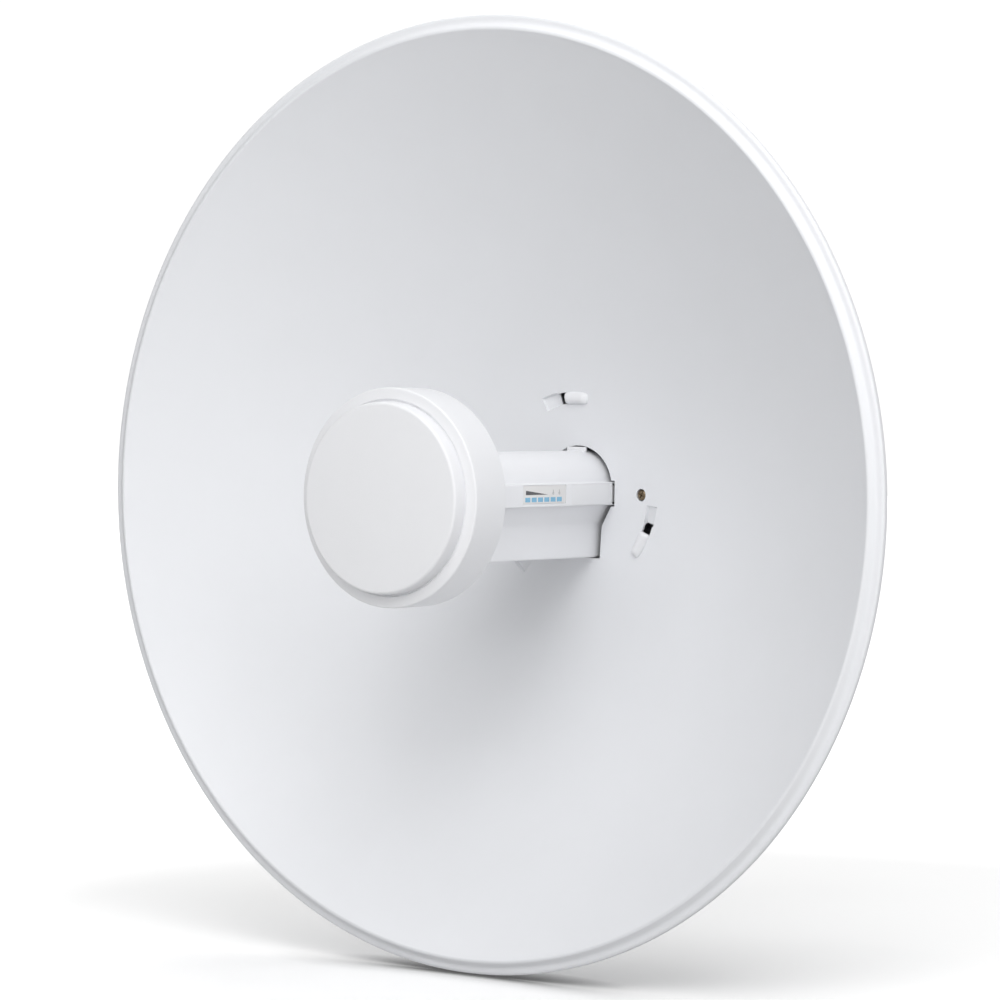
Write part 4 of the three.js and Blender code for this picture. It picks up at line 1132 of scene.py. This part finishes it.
cadFinishes = {
    "plate_gasket": blackRubber, "door_pin": boltZinc, "radome_seal": blackRubber, "ground_plate": tinPlate,
    "antenna_board": boardGreen, "radio_board": boardGreen, "patch_element": copperFoil,
    "coax_lead_right": coaxBrown,
    "coax_lead_left": coaxBrown, "lan_transformer": blackPlastic, "reset_switch": blackPlastic,
    "reset_button": greyPlastic,
    "board_screw_1": boltZinc, "board_screw_2": boltZinc,
    "shield_can_front": tinPlate, "shield_can_rear": tinPlate,
}
for i in range(1, 5):
    cadFinishes[f"standoff_{i}"] = tinPlate
    cadFinishes[f"patch_post_{i}"] = mouldedWhite
for name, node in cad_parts.items():
    node.data.materials.clear()
    node.data.materials.append(cadFinishes.get(name, mouldedWhite))
    node.data.shade_smooth()
    node.data.set_sharp_from_angle(angle=math.radians(32))

# Floor, light and camera.

shot = {"azimuth": 36.9, "elevation": 1.84, "roll": 0.76, "distance": 1849.5, "aim": (0, -60, 0),
        "across": 0.28, "up": -2.25,
        "focalLength": 150.93, "film": 36}
# Lights by name: (across, up, towards the camera), distance, size, power.
studio = {
    "aim": (0, -0.15, 0), "sky": 0.28, "floorSeen": 0.95, "floorHidden": 0.60,
    # floorGlow, glowStart and glowEnd set a painted glow on the floor that rises away from the object; the
    # contact values set a painted contact shadow on the floor
    "floorGlow": 0.06, "glowStart": 0.38, "glowEnd": 0.85,
    "contactReach": 0.03, "contactShade": 0.12, "contactLow": 0.45, "contactHigh": 0.95, "skySeen": 1.05,
    "topLight": ((0, 1, 0), 1.6, 1.8, 6.0), "topFrontLight": ((0, 1, 1), 1.8, 1.3, 15.2),
    "topBackLight": ((0, 1, -0.8), 1.8, 1.3, 13.0), "topRightLight": ((1, 1, 0.3), 1.8, 1.3, 1.5),
    "frontLight": ((0, 0.25, 1), 2.4, 1.3, 1.5), "rightLight": ((0.6, 0.5, 1), 1.9, 1.2, 6.5),
    "leftLight": ((-0.6, 0.5, 1), 1.9, 1.2, 7.6),
}


def makeCamera():
    a, e, roll = (math.radians(shot[k]) for k in ("azimuth", "elevation", "roll"))
    back = Vector((math.sin(a) * math.cos(e), -math.cos(a) * math.cos(e), math.sin(e)))
    right = Vector((math.cos(a), math.sin(a), 0))
    up = back.cross(right)
    right, up = math.cos(roll) * right + math.sin(roll) * up, -math.sin(roll) * right + math.cos(roll) * up
    place = (Vector(shot["aim"]) + back * shot["distance"] + right * shot["across"] + up * shot["up"]) / 1000
    place.y += vertexY
    camera = bpy.data.objects.new("camera", bpy.data.cameras.new("camera"))
    camera.data.sensor_width = shot["film"]
    camera.data.lens = shot["focalLength"]
    camera.data.clip_end = 50
    camera.matrix_world = Matrix((
        (right.x, up.x, back.x, place.x), (right.y, up.y, back.y, place.y), (right.z, up.z, back.z,
                place.z), (0, 0, 0, 1)))
    bpy.context.scene.collection.objects.link(camera)
    bpy.context.scene.camera = camera


def makeFloor():
    level = cadBounds[0][2] - 0.0004
    bm = bmesh.new()
    bmesh.ops.create_grid(bm, x_segments=1, y_segments=1, size=6, matrix=Matrix.Translation((0, 0, level)))
    mesh = bpy.data.meshes.new("floor")
    bm.to_mesh(mesh)
    bm.free()
    floor = linkObject("floor", mesh)
    material = bpy.data.materials.new("floorWhite")
    material.use_nodes = True
    tree = material.node_tree
    tree.nodes.remove(tree.nodes["Principled BSDF"])
    hidden = addNode(tree, "ShaderNodeBsdfDiffuse", Color=(*[studio["floorHidden"]] * 3, 1))
    seen, glow = addNode(tree, "ShaderNodeBsdfDiffuse"), addNode(tree, "ShaderNodeEmission")
    coords, length = addNode(tree, "ShaderNodeTexCoord"), addNode(tree, "ShaderNodeVectorMath")
    length.operation = "LENGTH"
    # Painted contact shadow: the floor colour the camera sees is darkened by ambient occlusion where the
    # object comes near it. Painted light: the floor's glow rises with distance from the object.
    near = addNode(tree, "ShaderNodeAmbientOcclusion", Distance=studio["contactReach"])
    far = addNode(tree, "ShaderNodeMapRange", From_Min=studio["glowStart"], From_Max=studio["glowEnd"],
                  To_Min=studio["floorGlow"], To_Max=1.0)
    shade = addNode(tree, "ShaderNodeMapRange", From_Min=studio["contactLow"],
            From_Max=studio["contactHigh"],
                    To_Min=studio["contactShade"], To_Max=studio["floorSeen"])
    path, both = addNode(tree, "ShaderNodeLightPath"), addNode(tree, "ShaderNodeAddShader")
    mix = addNode(tree, "ShaderNodeMixShader")
    wire(tree, (coords, "Object", length, 0), (length, "Value", far, "Value"), (far, 0, glow, "Strength"),
         (near, "AO", shade, "Value"), (shade, 0, seen, "Color"), (seen, 0, both, 0), (glow, 0, both, 1),
         (path, "Is Camera Ray", mix, 0), (hidden, 0, mix, 1), (both, 0, mix, 2),
         (mix, 0, tree.nodes["Material Output"], "Surface"))
    mesh.materials.append(material)


def makeLight(name):
    (across, up, towards), distance, size, power = studio[name]
    a = math.radians(shot["azimuth"])
    way = Vector((across * math.cos(a) + towards * math.sin(a),
            across * math.sin(a) - towards * math.cos(a), up))
    data = bpy.data.lights.new(name, "AREA")
    data.size, data.energy = size, power
    light = bpy.data.objects.new(name, data)
    light.location = Vector(studio["aim"]) + way.normalized() * distance
    light.rotation_mode = "QUATERNION"
    light.rotation_quaternion = way.to_track_quat("Z", "Y")
    bpy.context.scene.collection.objects.link(light)


def makeSky():
    world = bpy.data.worlds.new("sky")
    bpy.context.scene.world = world
    world.use_nodes = True
    tree = world.node_tree
    seen = addNode(tree, "ShaderNodeBackground", Strength=studio["skySeen"], Color=(1, 1, 1, 1))
    lit = tree.nodes["Background"]
    lit.inputs["Color"].default_value = (1, 1, 1, 1)
    lit.inputs["Strength"].default_value = studio["sky"]
    path, mix = addNode(tree, "ShaderNodeLightPath"), addNode(tree, "ShaderNodeMixShader")
    wire(tree, (path, "Is Camera Ray", mix, 0), (lit, 0, mix, 1), (seen, 0, mix, 2),
         (mix, 0, tree.nodes["World Output"], "Surface"))


makeCamera()
makeFloor()
for name in [n for n in studio if n.endswith("Light")]:
    makeLight(name)
makeSky()
bpy.context.scene.view_settings.view_transform = "Standard"
print("studio ready")
